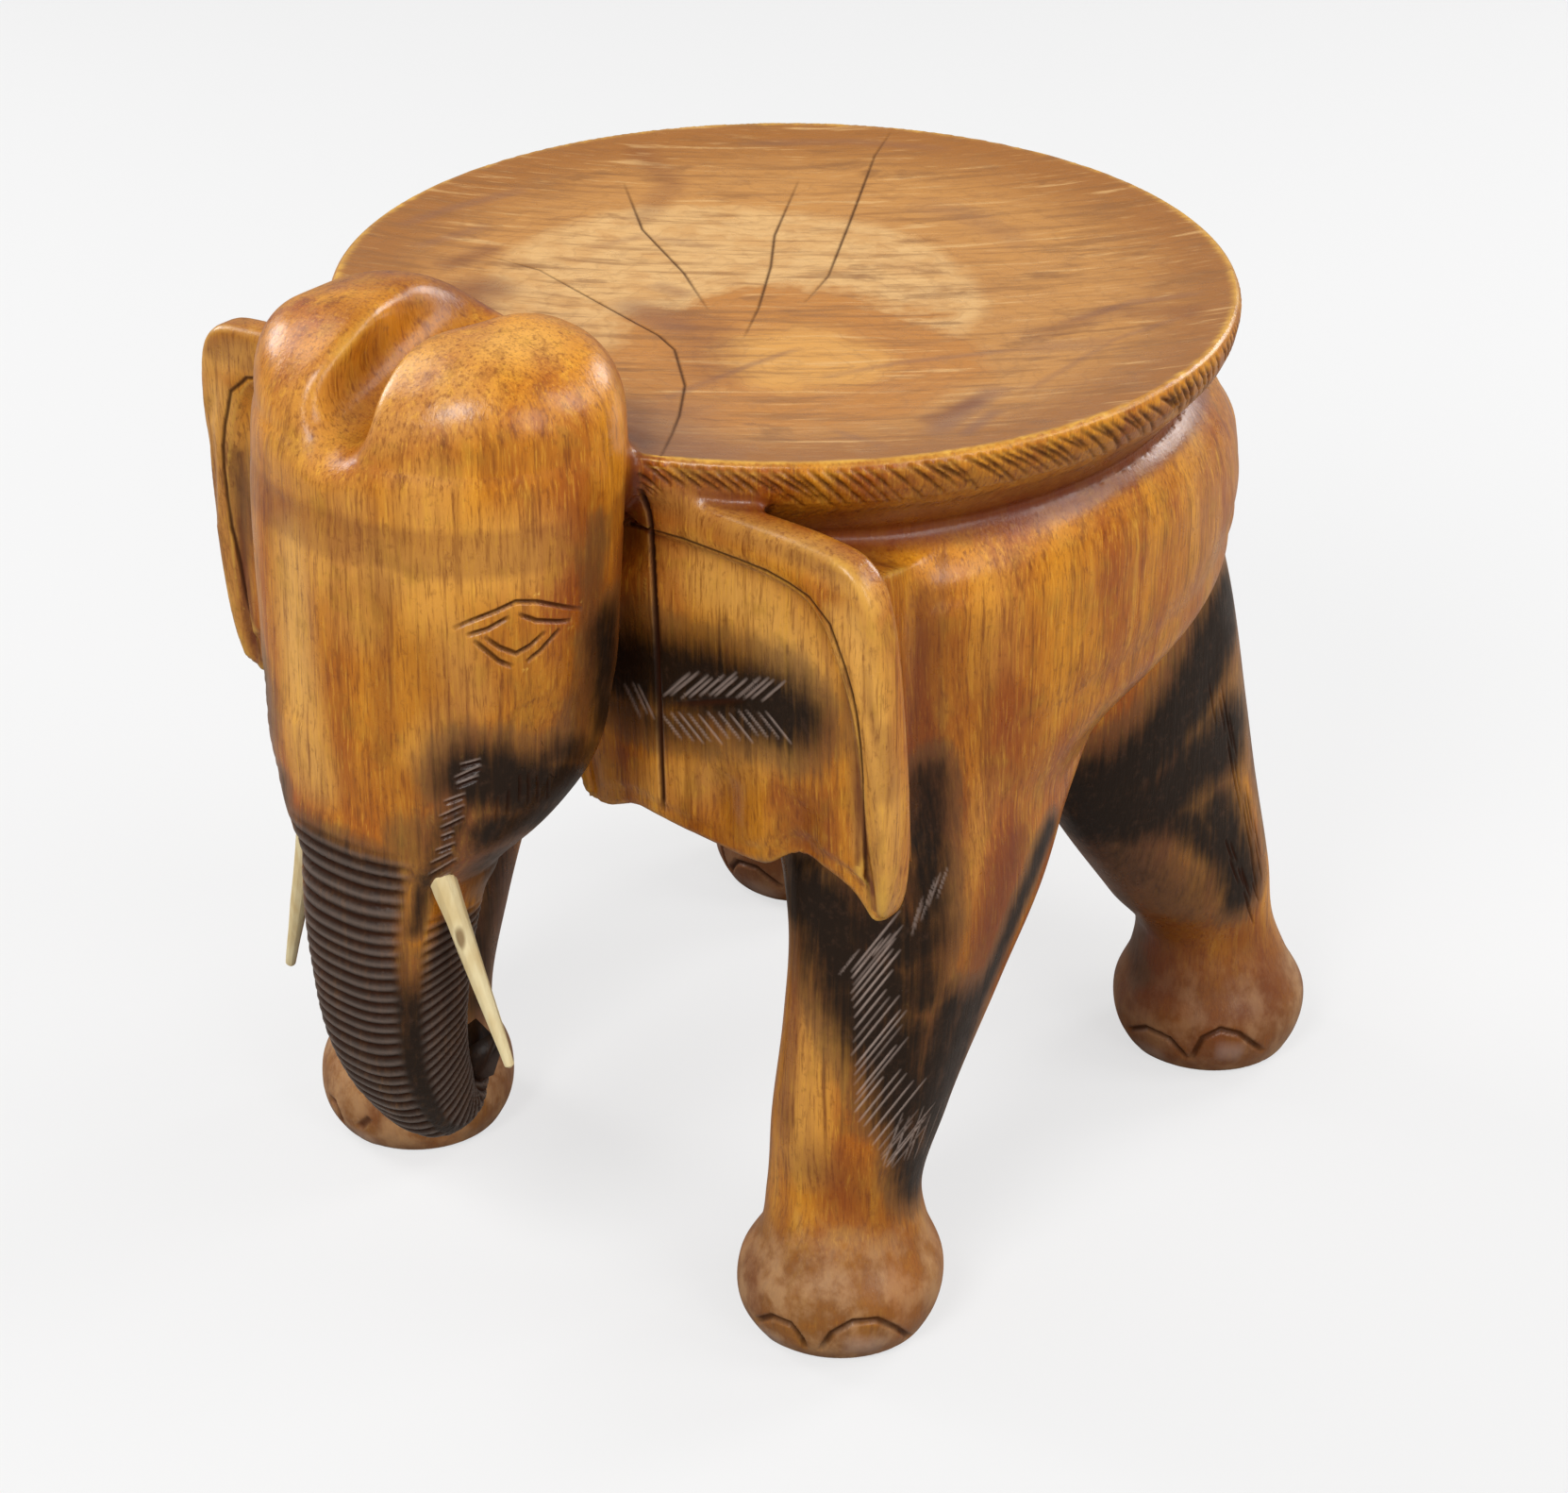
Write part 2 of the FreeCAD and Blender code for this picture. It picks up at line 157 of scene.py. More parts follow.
# Ear outline and the inner edge of its rolled rim, across as a share of half the ear span and up as
# a share of the seat height.
EAR_OUTLINE_SHARES = (
    (0.130, 0.957),
    (0.560, 0.957),
    (0.820, 0.958),
    (0.935, 0.945),
    (0.985, 0.895),
    (1.000, 0.780),
    (0.998, 0.660),
    (0.975, 0.585),
    (0.930, 0.560),
    (0.870, 0.590),
    (0.760, 0.607),
    (0.640, 0.583),
    (0.480, 0.586),
    (0.300, 0.594),
    (0.130, 0.606),
)
EAR_BOWL_SHARES = (
    (0.200, 0.916),
    (0.371, 0.916),
    (0.530, 0.918),
    (0.683, 0.917),
    (0.800, 0.907),
    (0.858, 0.880),
    (0.895, 0.840),
    (0.925, 0.790),
    (0.941, 0.730),
    (0.951, 0.650),
    (0.962, 0.580),
    (0.960, 0.500),
    (0.200, 0.500),
)
# Lift of the far ear above its tip, and the height of that tip as a share of the seat height.
FAR_EAR_LIFT = 1.06
EAR_TIP_SHARE = 0.58
# Tusk ends as shares of half the head width, the head centre and the head height.
TUSK_TIP_SHARES = (0.77, 1.200, 0.361)
TUSK_ROOT_SHARES = (0.455, 1.235, 0.532)
TUSK_RING_SHARES = (0.0, 0.15, 0.24, 0.36, 0.50, 0.63, 0.75, 0.86, 0.94, 1.0)
TUSK_FACETS = 9
TUSK_KNOT_SHARE = 0.27
TUSK_TAKEN_IN = 1.05
# Tail stations: height as a share of the barrel top, half width and half depth as shares of the tail
# width, and how far out it lies as a share of the seat radius.
TAIL_SHARES = (
    (0.940, 0.45, 0.50, 0.030),
    (0.880, 0.42, 0.50, 0.035),
    (0.820, 0.40, 0.50, 0.035),
    (0.790, 0.62, 0.60, 0.030),
    (0.760, 0.60, 0.60, 0.015),
    (0.740, 0.20, 0.30, 0.000),
)
TAIL_ROOT_SHARE = 0.955

# Blend of the hind legs into the barrel: its least width, what it gains toward the rear, and where.
HIND_BLEND = (6.0, 30.0, 100.0, 165.0)
# A form counts as this far off, in millimetres, where it is out of reach.
FAR_OFF = 60.0
REACH_SHARE = 0.75
ROUGH_VOXEL = 3.5
FINE_VOXEL = 1.8
PROBE = 0.4
# Planes that part the carving: distance ahead of the seat axis, or shares of the sizes.
CROWN_CUT = 166.0
EAR_CUT = 146.0
EAR_ROOT_SHARE = 0.84
TRUNK_CUT_SHARE = 0.63
LEG_CUT_SHARE = 0.35
LEG_MIDDLE = 28.0
SEAT_CUT_BELOW_DISH = 4.0
RIM_CUT_BELOW_TOP = 8.0
# How far stain, golden wood, smudges and burns spread beside their lines, and how hard their edges are;
# the stain, the golden wood and the burns also carry painted shade and painted highlights.
GOLD_AND_HIGHLIGHT_SPREAD = (1.8, 1.6)
STAIN_AND_SHADE_SPREAD = (1.7, 1.6)
SMUDGE_SPREAD = (1.6, 1.3)
SCORCH_AND_SHADE_SPREAD = (1.9, 1.7)
FAINT_SPREAD = (2.5, 1.5)
FAINT_SHARE = 0.7
FLANK_X = 84.0
LOW_Z = 100.0
# The pith of the log and the middle of the pale sapwood arc, in metres from the seat axis.
PITH_PLACE = (0.042, -0.050)
SAP_PLACE = (-0.018, -0.010)
SEAT_RING_PITCH = 620.0
PAPER_GLOW = 0.72
ROOM_LIGHT = 0.38
LAMP_AIM = (0, 0, 0.2)
# Name, place in metres, size and power of each lamp.
LAMPS = (("key", (0.5, -2.1, 2.0), 1.1, 45.0), ("left", (-2.3, -0.2, 1.1), 0.9, 19.0),
         ("window", (-1.5, -0.4, 1.9), 1.3, 13.0), ("rear", (0.5, 2.2, 1.2), 1.0, 22.0),
         ("back", (1.7, 1.1, 1.6), 1.2, 16.0), ("right", (2.2, -0.5, 1.2), 1.2, 15.0))


# Sizes and colours that a user would change

class StoolSizes(bpy.types.PropertyGroup):
    """Overall sizes of the stool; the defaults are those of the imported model."""
    seat_height: bpy.props.FloatProperty(
        name="Seat height", description="Height of the seat's rim above the floor",
        default=0.400, min=0.2, max=0.8, unit="LENGTH")
    seat_diameter: bpy.props.FloatProperty(
        name="Seat diameter", description="Width of the round seat between its edges",
        default=0.372, min=0.2, max=0.8, unit="LENGTH")
    dish_depth: bpy.props.FloatProperty(
        name="Dish depth", description="How far the middle of the seat lies below its rim",
        default=0.012, min=0.0, max=0.03, unit="LENGTH")
    rim_band: bpy.props.FloatProperty(
        name="Rim band", description="Height of the gouged band round the seat",
        default=0.020, min=0.01, max=0.04, unit="LENGTH")
    rim_cove: bpy.props.FloatProperty(
        name="Rim cove", description="Height and depth of the undercut below the band",
        default=0.020, min=0.01, max=0.04, unit="LENGTH")
    foot_diameter: bpy.props.FloatProperty(
        name="Foot diameter", description="Width of a foot at its widest",
        default=0.088, min=0.05, max=0.15, unit="LENGTH")
    foot_track: bpy.props.FloatProperty(
        name="Foot track", description="Distance between the left and the right feet, centre to centre",
        default=0.242, min=0.1, max=0.4, unit="LENGTH")
    front_foot: bpy.props.FloatProperty(
        name="Front foot", description="Distance of the front feet ahead of the seat's axis",
        default=0.114, min=0.05, max=0.3, unit="LENGTH")
    hind_foot: bpy.props.FloatProperty(
        name="Hind foot", description="Distance of the hind feet behind the seat's axis",
        default=0.165, min=0.05, max=0.3, unit="LENGTH")
    head_height: bpy.props.FloatProperty(
        name="Head height", description="Height of the domes of the head above the floor",
        default=0.453, min=0.2, max=0.9, unit="LENGTH")
    head_width: bpy.props.FloatProperty(
        name="Head width", description="Width of the head at its widest",
        default=0.156, min=0.08, max=0.3, unit="LENGTH")
    head_centre: bpy.props.FloatProperty(
        name="Head centre", description="Distance of the head's middle ahead of the seat's axis",
        default=0.204, min=0.1, max=0.4, unit="LENGTH")
    ear_span: bpy.props.FloatProperty(
        name="Ear span", description="Distance across the two ears",
        default=0.357, min=0.2, max=0.6, unit="LENGTH")
    ear_front: bpy.props.FloatProperty(
        name="Ear front", description="Distance of the ears' front ahead of the seat's axis",
        default=0.165, min=0.08, max=0.3, unit="LENGTH")
    ear_thickness: bpy.props.FloatProperty(
        name="Ear thickness", description="Thickness of an ear at its edge",
        default=0.016, min=0.006, max=0.03, unit="LENGTH")
    ear_recess: bpy.props.FloatProperty(
        name="Ear recess", description="Depth of the step inside the ear's rolled rim",
        default=0.004, min=0.0, max=0.008, unit="LENGTH")
    tusk_diameter: bpy.props.FloatProperty(
        name="Tusk diameter", description="Thickness of a tusk where it leaves the head",
        default=0.011, min=0.004, max=0.02, unit="LENGTH")
    tusk_tip: bpy.props.FloatProperty(
        name="Tusk tip", description="Thickness of a tusk at its blunt tip",
        default=0.004, min=0.001, max=0.01, unit="LENGTH")
    tusk_peg: bpy.props.FloatProperty(
        name="Tusk peg", description="Length of a tusk that is hidden in its socket",
        default=0.020, min=0.005, max=0.04, unit="LENGTH")
    tail_width: bpy.props.FloatProperty(
        name="Tail width", description="Width of the tail that is carved in relief",
        default=0.014, min=0.005, max=0.03, unit="LENGTH")
    ridge_pitch: bpy.props.FloatProperty(
        name="Trunk ridge pitch", description="Distance between the cuts across the trunk",
        default=0.0048, min=0.002, max=0.012, unit="LENGTH")


class StoolFinish(bpy.types.PropertyGroup):
    """Colours of the wood and of the stage."""
    honey: bpy.props.FloatVectorProperty(
        name="Honey wood", description="Lighter colour of the stained wood",
        subtype="COLOR", size=3, min=0.0, max=1.0, default=(0.62, 0.235, 0.012))
    russet: bpy.props.FloatVectorProperty(
        name="Russet wood", description="Deeper orange-brown colour of the stained wood",
        subtype="COLOR", size=3, min=0.0, max=1.0, default=(0.35, 0.082, 0.004))
    honey_light: bpy.props.FloatVectorProperty(
        name="Light fibres", description="Lightest fibres of the stained wood",
        subtype="COLOR", size=3, min=0.0, max=1.0, default=(0.82, 0.41, 0.040))
    olive: bpy.props.FloatVectorProperty(
        name="Olive tint", description="Yellow-green tint of some grain",
        subtype="COLOR", size=3, min=0.0, max=1.0, default=(0.40, 0.19, 0.012))
    grain: bpy.props.FloatVectorProperty(
        name="Grain lines", description="Dark lines of the upright grain",
        subtype="COLOR", size=3, min=0.0, max=1.0, default=(0.15, 0.030, 0.002))
    # Also painted shade: the reddish-brown laid in the cove under the rim, in creases, on the far dome's
    # back facet and on shaded legs; the concave hollows are darkened with it too.
    stain: bpy.props.FloatVectorProperty(
        name="Pooled stain", description="Red-brown stain that gathers in hollows",
        subtype="COLOR", size=3, min=0.0, max=1.0, default=(0.12, 0.018, 0.003))
    # Also the colour of painted highlights on the domes, the brow and the trunk's edge.
    gilt_and_highlight: bpy.props.FloatVectorProperty(
        name="Golden patches", description="Brightest golden wood of the ears and the trunk's edge",
        subtype="COLOR", size=3, min=0.0, max=1.0, default=(0.80, 0.42, 0.095))
    # Also a painted highlight on sharp convex edges and beside some cuts round the rim.
    worn_and_highlight: bpy.props.FloatVectorProperty(
        name="Worn edges", description="Golden colour of rubbed edges",
        subtype="COLOR", size=3, min=0.0, max=1.0, default=(0.70, 0.38, 0.06))
    seat: bpy.props.FloatVectorProperty(
        name="Seat wood", description="Colour of the sawn wood of the seat",
        subtype="COLOR", size=3, min=0.0, max=1.0, default=(0.50, 0.225, 0.052))
    seat_edge: bpy.props.FloatVectorProperty(
        name="Seat edge", description="Deeper colour near the rim of the seat",
        subtype="COLOR", size=3, min=0.0, max=1.0, default=(0.31, 0.110, 0.015))
    seat_dark: bpy.props.FloatVectorProperty(
        name="Seat streaks", description="Brown streaks and smudges of the seat",
        subtype="COLOR", size=3, min=0.0, max=1.0, default=(0.24, 0.095, 0.020))
    smudge: bpy.props.FloatVectorProperty(
        name="Seat smudges", description="Purple-brown smudges of the seat",
        subtype="COLOR", size=3, min=0.0, max=1.0, default=(0.22, 0.095, 0.050))
    sapwood: bpy.props.FloatVectorProperty(
        name="Sapwood", description="Pale arcs round the heart of the seat",
        subtype="COLOR", size=3, min=0.0, max=1.0, default=(0.72, 0.44, 0.175))
    heart: bpy.props.FloatVectorProperty(
        name="Heartwood", description="Orange-brown heart of the seat",
        subtype="COLOR", size=3, min=0.0, max=1.0, default=(0.47, 0.185, 0.030))
    foot: bpy.props.FloatVectorProperty(
        name="Feet", description="Greyish tan of the feet",
        subtype="COLOR", size=3, min=0.0, max=1.0, default=(0.20, 0.080, 0.020))
    foot_light: bpy.props.FloatVectorProperty(
        name="Feet, lighter", description="Lighter tan of the feet",
        subtype="COLOR", size=3, min=0.0, max=1.0, default=(0.40, 0.22, 0.10))
    singed: bpy.props.FloatVectorProperty(
        name="Singed wood", description="Brown border of the burnt patches",
        subtype="COLOR", size=3, min=0.0, max=1.0, default=(0.12, 0.055, 0.018))
    scorch_light: bpy.props.FloatVectorProperty(
        name="Scorched wood, lighter", description="Purple-brown flecks of the burnt patches",
        subtype="COLOR", size=3, min=0.0, max=1.0, default=(0.052, 0.025, 0.014))
    groove: bpy.props.FloatVectorProperty(
        name="Cut lines", description="Dark bottoms of the gouge cuts",
        subtype="COLOR", size=3, min=0.0, max=1.0, default=(0.035, 0.010, 0.004))
    scratch: bpy.props.FloatVectorProperty(
        name="Scratches", description="Pale scratches through the burnt patches",
        subtype="COLOR", size=3, min=0.0, max=1.0, default=(0.55, 0.42, 0.36))
    tusk_deep: bpy.props.FloatVectorProperty(
        name="Tusk fibres", description="Deeper fibres of the tusks",
        subtype="COLOR", size=3, min=0.0, max=1.0, default=(0.66, 0.50, 0.24))
    # Also painted shade under the jaw, behind the ear's edge, between the head and the ear and on the hind
    # legs.
    scorch_and_shade: bpy.props.FloatVectorProperty(
        name="Scorched wood", description="Colour of the burnt patches",
        subtype="COLOR", size=3, min=0.0, max=1.0, default=(0.016, 0.008, 0.004))
    tusk_knot: bpy.props.FloatVectorProperty(
        name="Tusk knot", description="Small brown knot in a tusk",
        subtype="COLOR", size=3, min=0.0, max=1.0, default=(0.20, 0.11, 0.035))
    tusk: bpy.props.FloatVectorProperty(
        name="Tusk wood", description="Colour of the bare wood of the tusks",
        subtype="COLOR", size=3, min=0.0, max=1.0, default=(0.80, 0.68, 0.40))
    backdrop: bpy.props.FloatVectorProperty(
        name="Backdrop", description="Pale grey of the backdrop",
        subtype="COLOR", size=3, min=0.0, max=1.0, default=(0.905, 0.905, 0.905))
    floor_bounce: bpy.props.FloatVectorProperty(
        name="Floor bounce", description="Colour the floor casts back on the object",
        subtype="COLOR", size=3, min=0.0, max=1.0, default=(0.30, 0.28, 0.26))
    floor: bpy.props.FloatVectorProperty(
        name="Floor", description="Colour of the floor and the background",
        subtype="COLOR", size=3, min=0.0, max=1.0, default=(0.76, 0.76, 0.76))


def millimetres(context):
    """The sizes in millimetres, by name."""
    sizes = context.scene.stool_sizes
    return {name: getattr(sizes, name) / MM for name in StoolSizes.__annotations__}


# Smooth forms: each function gives the signed distance of points to a form, negative inside

def smooth_min(a, b, reach):
    near = np.maximum(reach - np.abs(a - b), 0.0) / reach
    return np.minimum(a, b) - near * near * reach * 0.25


def smooth_max(a, b, reach):
    return -smooth_min(-a, -b, reach)


def smooth_step(value, low, high):
    t = np.clip((value - low) / (high - low), 0.0, 1.0)
    return t * t * (3.0 - 2.0 * t)


class Stations:
    """Smooth curves through the rows of a station table, read at any key."""

    def __init__(self, rows, count=400):
        rows = np.asarray(rows, float)
        keys, values = rows[:, 0], rows[:, 1:]
        step = np.diff(keys)[:, None]
        slope = np.diff(values, axis=0) / step
        tangent = np.vstack([slope[:1], (slope[:-1] * step[1:] + slope[1:] * step[:-1])
                             / (step[1:] + step[:-1]), slope[-1:]])
        self.keys = np.linspace(keys[0], keys[-1], count)
        at = np.clip(np.searchsorted(keys, self.keys, side="right") - 1, 0, len(keys) - 2)
        h = step[at]
        t = (self.keys[:, None] - keys[at][:, None]) / h
        self.values = ((1 + 2 * t) * (1 - t) ** 2 * values[at] + t * (1 - t) ** 2 * h * tangent[at]
                       + t * t * (3 - 2 * t) * values[at + 1] + t * t * (t - 1) * h * tangent[at + 1])

    def read(self, key):
        return [np.interp(key, self.keys, column) for column in self.values.T]


def oval(dx, dy, outer, inner, front, rear, fullness):
    """Distance to an outline whose four quarters have their own reach."""
    across = np.abs(dx) / np.where(dx > 0, outer, inner)
    along = np.abs(dy) / np.where(dy > 0, rear, front)
    ratio = (across ** fullness + along ** fullness) ** (1 / fullness)
    out = np.hypot(dx, dy)
    return out - out / np.maximum(ratio, 1e-6)


def inside_box(points, low, high):
    """Which points lie near enough to a form for it to matter."""
    low = np.asarray(low) - FAR_OFF * REACH_SHARE
    high = np.asarray(high) + FAR_OFF * REACH_SHARE
    return np.all((points > low) & (points < high), axis=1)


def polygon_distance(x, y, corners):
    """Signed distance to a closed outline in a plane."""
    corners = np.asarray(corners, float)
    nearest = np.full(len(x), 1e9)
    crossed = np.zeros(len(x), bool)
    for (ax, ay), (bx, by) in zip(corners, np.roll(corners, -1, axis=0)):
        ex, ey = bx - ax, by - ay
        wx, wy = x - ax, y - ay
        t = np.clip((wx * ex + wy * ey) / (ex * ex + ey * ey), 0.0, 1.0)
        nearest = np.minimum(nearest, (wx - ex * t) ** 2 + (wy - ey * t) ** 2)
        spans = (ay > y) != (by > y)
        if ey != 0:
            crossed ^= spans & (x < ex * (y - ay) / ey + ax)
    return np.sqrt(nearest) * np.where(crossed, -1.0, 1.0)


def rounded_outline(points, count=6):
    """Closed outline eased through its points."""
    points = np.asarray(points, float)
    before, after = np.roll(points, 1, axis=0), np.roll(points, -1, axis=0)
    second = np.roll(points, -2, axis=0)
    smooth = []
    for step in range(count):
        t = step / count
        smooth.append(0.5 * (2 * points + (after - before) * t
                             + (2 * before - 5 * points + 4 * after - second) * t * t
                             + (3 * points - before - 3 * after + second) * t ** 3))
    return np.stack(smooth, axis=1).reshape(-1, 2)


class LogForms:
    """The smooth shape of the whole carving, from the sizes."""

    def __init__(self, size):
        self.size = size
        self.seat_radius = size["seat_diameter"] / 2
        self.foot_radius = size["foot_diameter"] / 2
        self.half_track = size["foot_track"] / 2
        self.half_head = size["head_width"] / 2
        self.half_span = size["ear_span"] / 2
        self.barrel_top = size["seat_height"] - size["rim_band"] - size["rim_cove"]
        self.fore = self.leg_stations(FRONT_LEG_SHARES, -size["front_foot"])
        self.hind = self.leg_stations(HIND_LEG_SHARES, size["hind_foot"])
        self.barrel = self.barrel_stations(BARREL_SHARES)
        self.belly = self.barrel_stations(BELLY_SHARES)
        self.head = [(up * size["head_height"], -along * size["head_centre"]) + tuple(
            share * self.half_head for share in reach) + (full,)
            for up, along, *reach, full in HEAD_SHARES]
        self.trunk = [(-out * size["head_centre"], up * size["head_height"], half * self.half_head,
                       deep * self.half_head, full) for out, up, half, deep, full in TRUNK_SHARES]
        self.tail = [(up * self.barrel_top, self.seat_radius * (TAIL_ROOT_SHARE + out),
                      half * size["tail_width"], deep * size["tail_width"])
                     for up, half, deep, out in TAIL_SHARES]
        self.ear = [(across * self.half_span, up * size["seat_height"])
                    for across, up in EAR_OUTLINE_SHARES]
        self.bowl = [(across * self.half_span, up * size["seat_height"])
                     for across, up in EAR_BOWL_SHARES]
        self.ear_line = rounded_outline(self.ear)
        self.bowl_line = rounded_outline(self.bowl)
        self.seat = self.seat_profile()
        self.boxes = self.form_boxes()
        self.curves = {
            "fore": Stations(self.fore), "hind": Stations(self.hind),
            "barrel": Stations(self.barrel), "belly": Stations(self.belly),
            "head": Stations(self.head), "tail": Stations(self.tail[::-1])}
        self.trunk_path()

    def leg_stations(self, shares, foot_y):
        return [(up * self.size["seat_height"], across * self.half_track, along * foot_y)
                + tuple(share * self.foot_radius for share in reach) + (full,)
                for up, across, along, *reach, full in shares]

    def barrel_stations(self, shares):
        return [(up * self.barrel_top, rise * self.barrel_top, along * self.seat_radius)
                + tuple(share * self.seat_radius for share in reach) + (full,)
                for up, rise, along, *reach, full in shares]

    def form_boxes(self):
        """The box that each form fills on one side of the middle plane, and the width of its blend."""
        r = self.seat_radius
        top = self.size["seat_height"]
        return {
            "barrel": ((0, -r, 190), (r, r, self.barrel_top), None),
            "belly": ((0, -r, 200), (r, r, 330), 16.0),
            "fore": ((60, -190, 0), (180, 0, 320), 26.0),
            "hind": ((60, 30, 0), (180, 215, 320), None),
            "ear_root": ((40, -165, 200), (180, -60, 400), 10.0),
            "seat": ((0, -190, 330), (190, 190, top), 5.0),
            "tail": ((0, 165, 260), (15, 200, 345), 4.0),
            "head": ((0, -280, 210), (80, -140, 455), 9.0),
            "trunk": ((0, -285, 90), (40, -190, 300), 16.0),
            "ear": ((10, -180, 212), (184, -130, 398), 7.0),
        }

    def seat_profile(self):
        """Half section of the seat: dish, crest, band, cove and neck, as radius and height."""
        top = self.size["seat_height"]
        edge = self.seat_radius
        band = self.size["rim_band"]
        cove = self.size["rim_cove"]
        dish = self.size["dish_depth"]
        line = [(-5.0, top - dish)]
        for share in np.linspace(0.0, 1.0, 12):
            line.append((share * (edge - 3.5), top - dish * (1 - share ** 2.6)))
        line += [(edge - 1.5, top + 0.3), (edge, top - 1.0), (edge + 1.0, top - 3.5),
                 (edge + 1.0, top - 6.0), (edge - 0.2, top - 12.0), (edge - 2.5, top - band + 3.0),
                 (edge - 5.0, top - band), (edge - 12.0, top - band - 8.0),
                 (edge - cove, top - band - 17.0), (edge - cove - 3.0, top - band - cove - 6.0),
                 (edge - cove - 6.0, self.barrel_top - cove), (-5.0, self.barrel_top - cove)]
        return line

    def trunk_path(self):
        rows = np.asarray(self.trunk)
        run = np.concatenate([[0.0], np.cumsum(np.hypot(*np.diff(rows[:, :2], axis=0).T))])
        self.trunk_run = Stations(np.column_stack([run, rows]), 160)

    def leg_distance(self, points, name):
        rows = self.fore if name == "fore" else self.hind
        cx, cy, outer, inner, front, rear, full = self.curves[name].read(points[:, 2])
        side = oval(points[:, 0] - cx, points[:, 1] - cy, outer, inner, front, rear, full)
        ends = np.maximum(rows[0][0] - points[:, 2], points[:, 2] - rows[-1][0])
        return smooth_max(side, ends, 3.0)

    def barrel_distance(self, points, name):
        rows = self.barrel if name == "barrel" else self.belly
        curves = self.curves[name]
        y, z = points[:, 1], points[:, 2]
        level = z.copy()
        for _ in range(7):
            lift, cy, half, front, rear, full = curves.read(level)
            level = z - lift * (0.5 + np.clip((y - cy) / (front + rear), -0.6, 0.6))
        side = oval(points[:, 0], y - cy, half, half, front, rear, full)
        top = level - rows[-1][0]
        bottom = rows[0][0] - level
        return smooth_max(smooth_max(side, bottom, 10.0 if name == "barrel" else 24.0), top, 3.0)

    def head_distance(self, points):
        rows = self.head
        top = self.size["head_height"]
        level = np.minimum(points[:, 2], CROWN_LEVEL_SHARE * top)
        cy, half, front, rear, full = self.curves["head"].read(level)
        side = oval(points[:, 0], points[:, 1] - cy, half, half, front, rear, full)
        middle = -CROWN_PLACE_SHARE * self.size["head_centre"]
        out = np.maximum(np.abs(points[:, 1] - middle) - CROWN_FLAT_DEPTH, 0.0)
        wide = np.maximum(np.abs(points[:, 0]) - CROWN_WIDE_SHARE * self.half_head, 0.0)
        drop = CROWN_FALL_ALONG * out ** 2 + CROWN_FALL_ACROSS * wide ** 2
        steep = np.sqrt(1.0 + (2 * CROWN_FALL_ALONG * out) ** 2 + (2 * CROWN_FALL_ACROSS * wide) ** 2)
        crown = (points[:, 2] - top + drop) / steep
        head = smooth_max(smooth_max(side, crown, 15.0), rows[0][0] - points[:, 2], 8.0)
        radius = VALLEY_RADIUS_SHARE * self.half_head
        (back_y, back_z), (brow_y, brow_z) = [
            (-out * self.size["head_centre"], up * self.size["head_height"] + radius)
            for out, up in (VALLEY_BACK_SHARES, VALLEY_BROW_SHARES)]
        run = math.hypot(brow_y - back_y, brow_z - back_z)
        square = ((points[:, 1] - back_y) * (brow_z - back_z)
                  - (points[:, 2] - back_z) * (brow_y - back_y)) / run
        along = np.clip((back_y - points[:, 1]) / (back_y - brow_y), 0.0, VALLEY_RUN_ON)
        narrow = radius - VALLEY_BROW_RADIUS_SHARE * self.half_head
        radius = radius - narrow * along
        valley = np.hypot(points[:, 0], square + narrow * along * 0.5) - radius
        return smooth_max(head, -valley, 12.0)

    def trunk_place(self, points):
        """Run along the trunk, and the place across and ahead of its path, of each point."""
        y, z, half, deep, full = self.trunk_run.values.T
        gap = (points[:, 1, None] - y[None]) ** 2 + (points[:, 2, None] - z[None]) ** 2
        at = np.argmin(gap, axis=1)
        ty, tz = np.gradient(y), np.gradient(z)
        length = np.hypot(ty, tz)
        ty, tz = ty / length, tz / length
        dy, dz = points[:, 1] - y[at], points[:, 2] - z[at]
        ahead = dy * tz[at] - dz * ty[at]
        onward = dy * ty[at] + dz * tz[at]
        return at, ahead, onward

    def trunk_distance(self, points):
        y, z, half, deep, full = self.trunk_run.values.T
        at, ahead, onward = self.trunk_place(points)
        side = oval(points[:, 0], ahead, half[at], half[at], deep[at], deep[at], full[at])
        last = (at == 0) | (at == len(y) - 1)
        return np.where(last, np.hypot(np.maximum(side, 0.0), onward) + np.minimum(side, 0.0), side)

    def ear_front_line(self, points):
        """How far forward the ear's front lies at each place, before its rim and recess."""
        lean = (points[:, 2] - self.size["seat_height"] * 0.75) * 0.09
        return -self.size["ear_front"] + 3.5 - lean * np.clip(points[:, 0] / self.half_span, 0, 1)

    def ear_distance(self, points):
        edge = polygon_distance(points[:, 0], points[:, 2], self.ear_line)
        bowl = polygon_distance(points[:, 0], points[:, 2], self.bowl_line)
        front = self.ear_front_line(points)
        recess = 0.8 * self.size["ear_recess"] * smooth_step(-bowl, -0.5, 4.5) * np.exp(
            -np.maximum(-bowl - 5.0, 0.0) / 22.0)
        roll = 1.6 * np.exp(-((bowl - 6.0) / 6.0) ** 2)
        ahead = front + recess - roll - points[:, 1]
        behind = points[:, 1] - front - self.size["ear_thickness"]
        return smooth_max(smooth_max(edge, ahead, 5.0), behind, 5.0)

    def ear_root_distance(self, points):
        edge = polygon_distance(points[:, 0], points[:, 2], self.ear_line)
        front = -self.size["ear_front"]
        back = points[:, 1] - (front + 8.0)
        slope = edge + 13.0 + np.maximum(back, 0.0) * 0.36
        return smooth_max(smooth_max(slope, -back, 3.0), back - 90.0, 3.0)

    def seat_distance(self, points):
        return polygon_distance(np.hypot(points[:, 0], points[:, 1]), points[:, 2], self.seat)

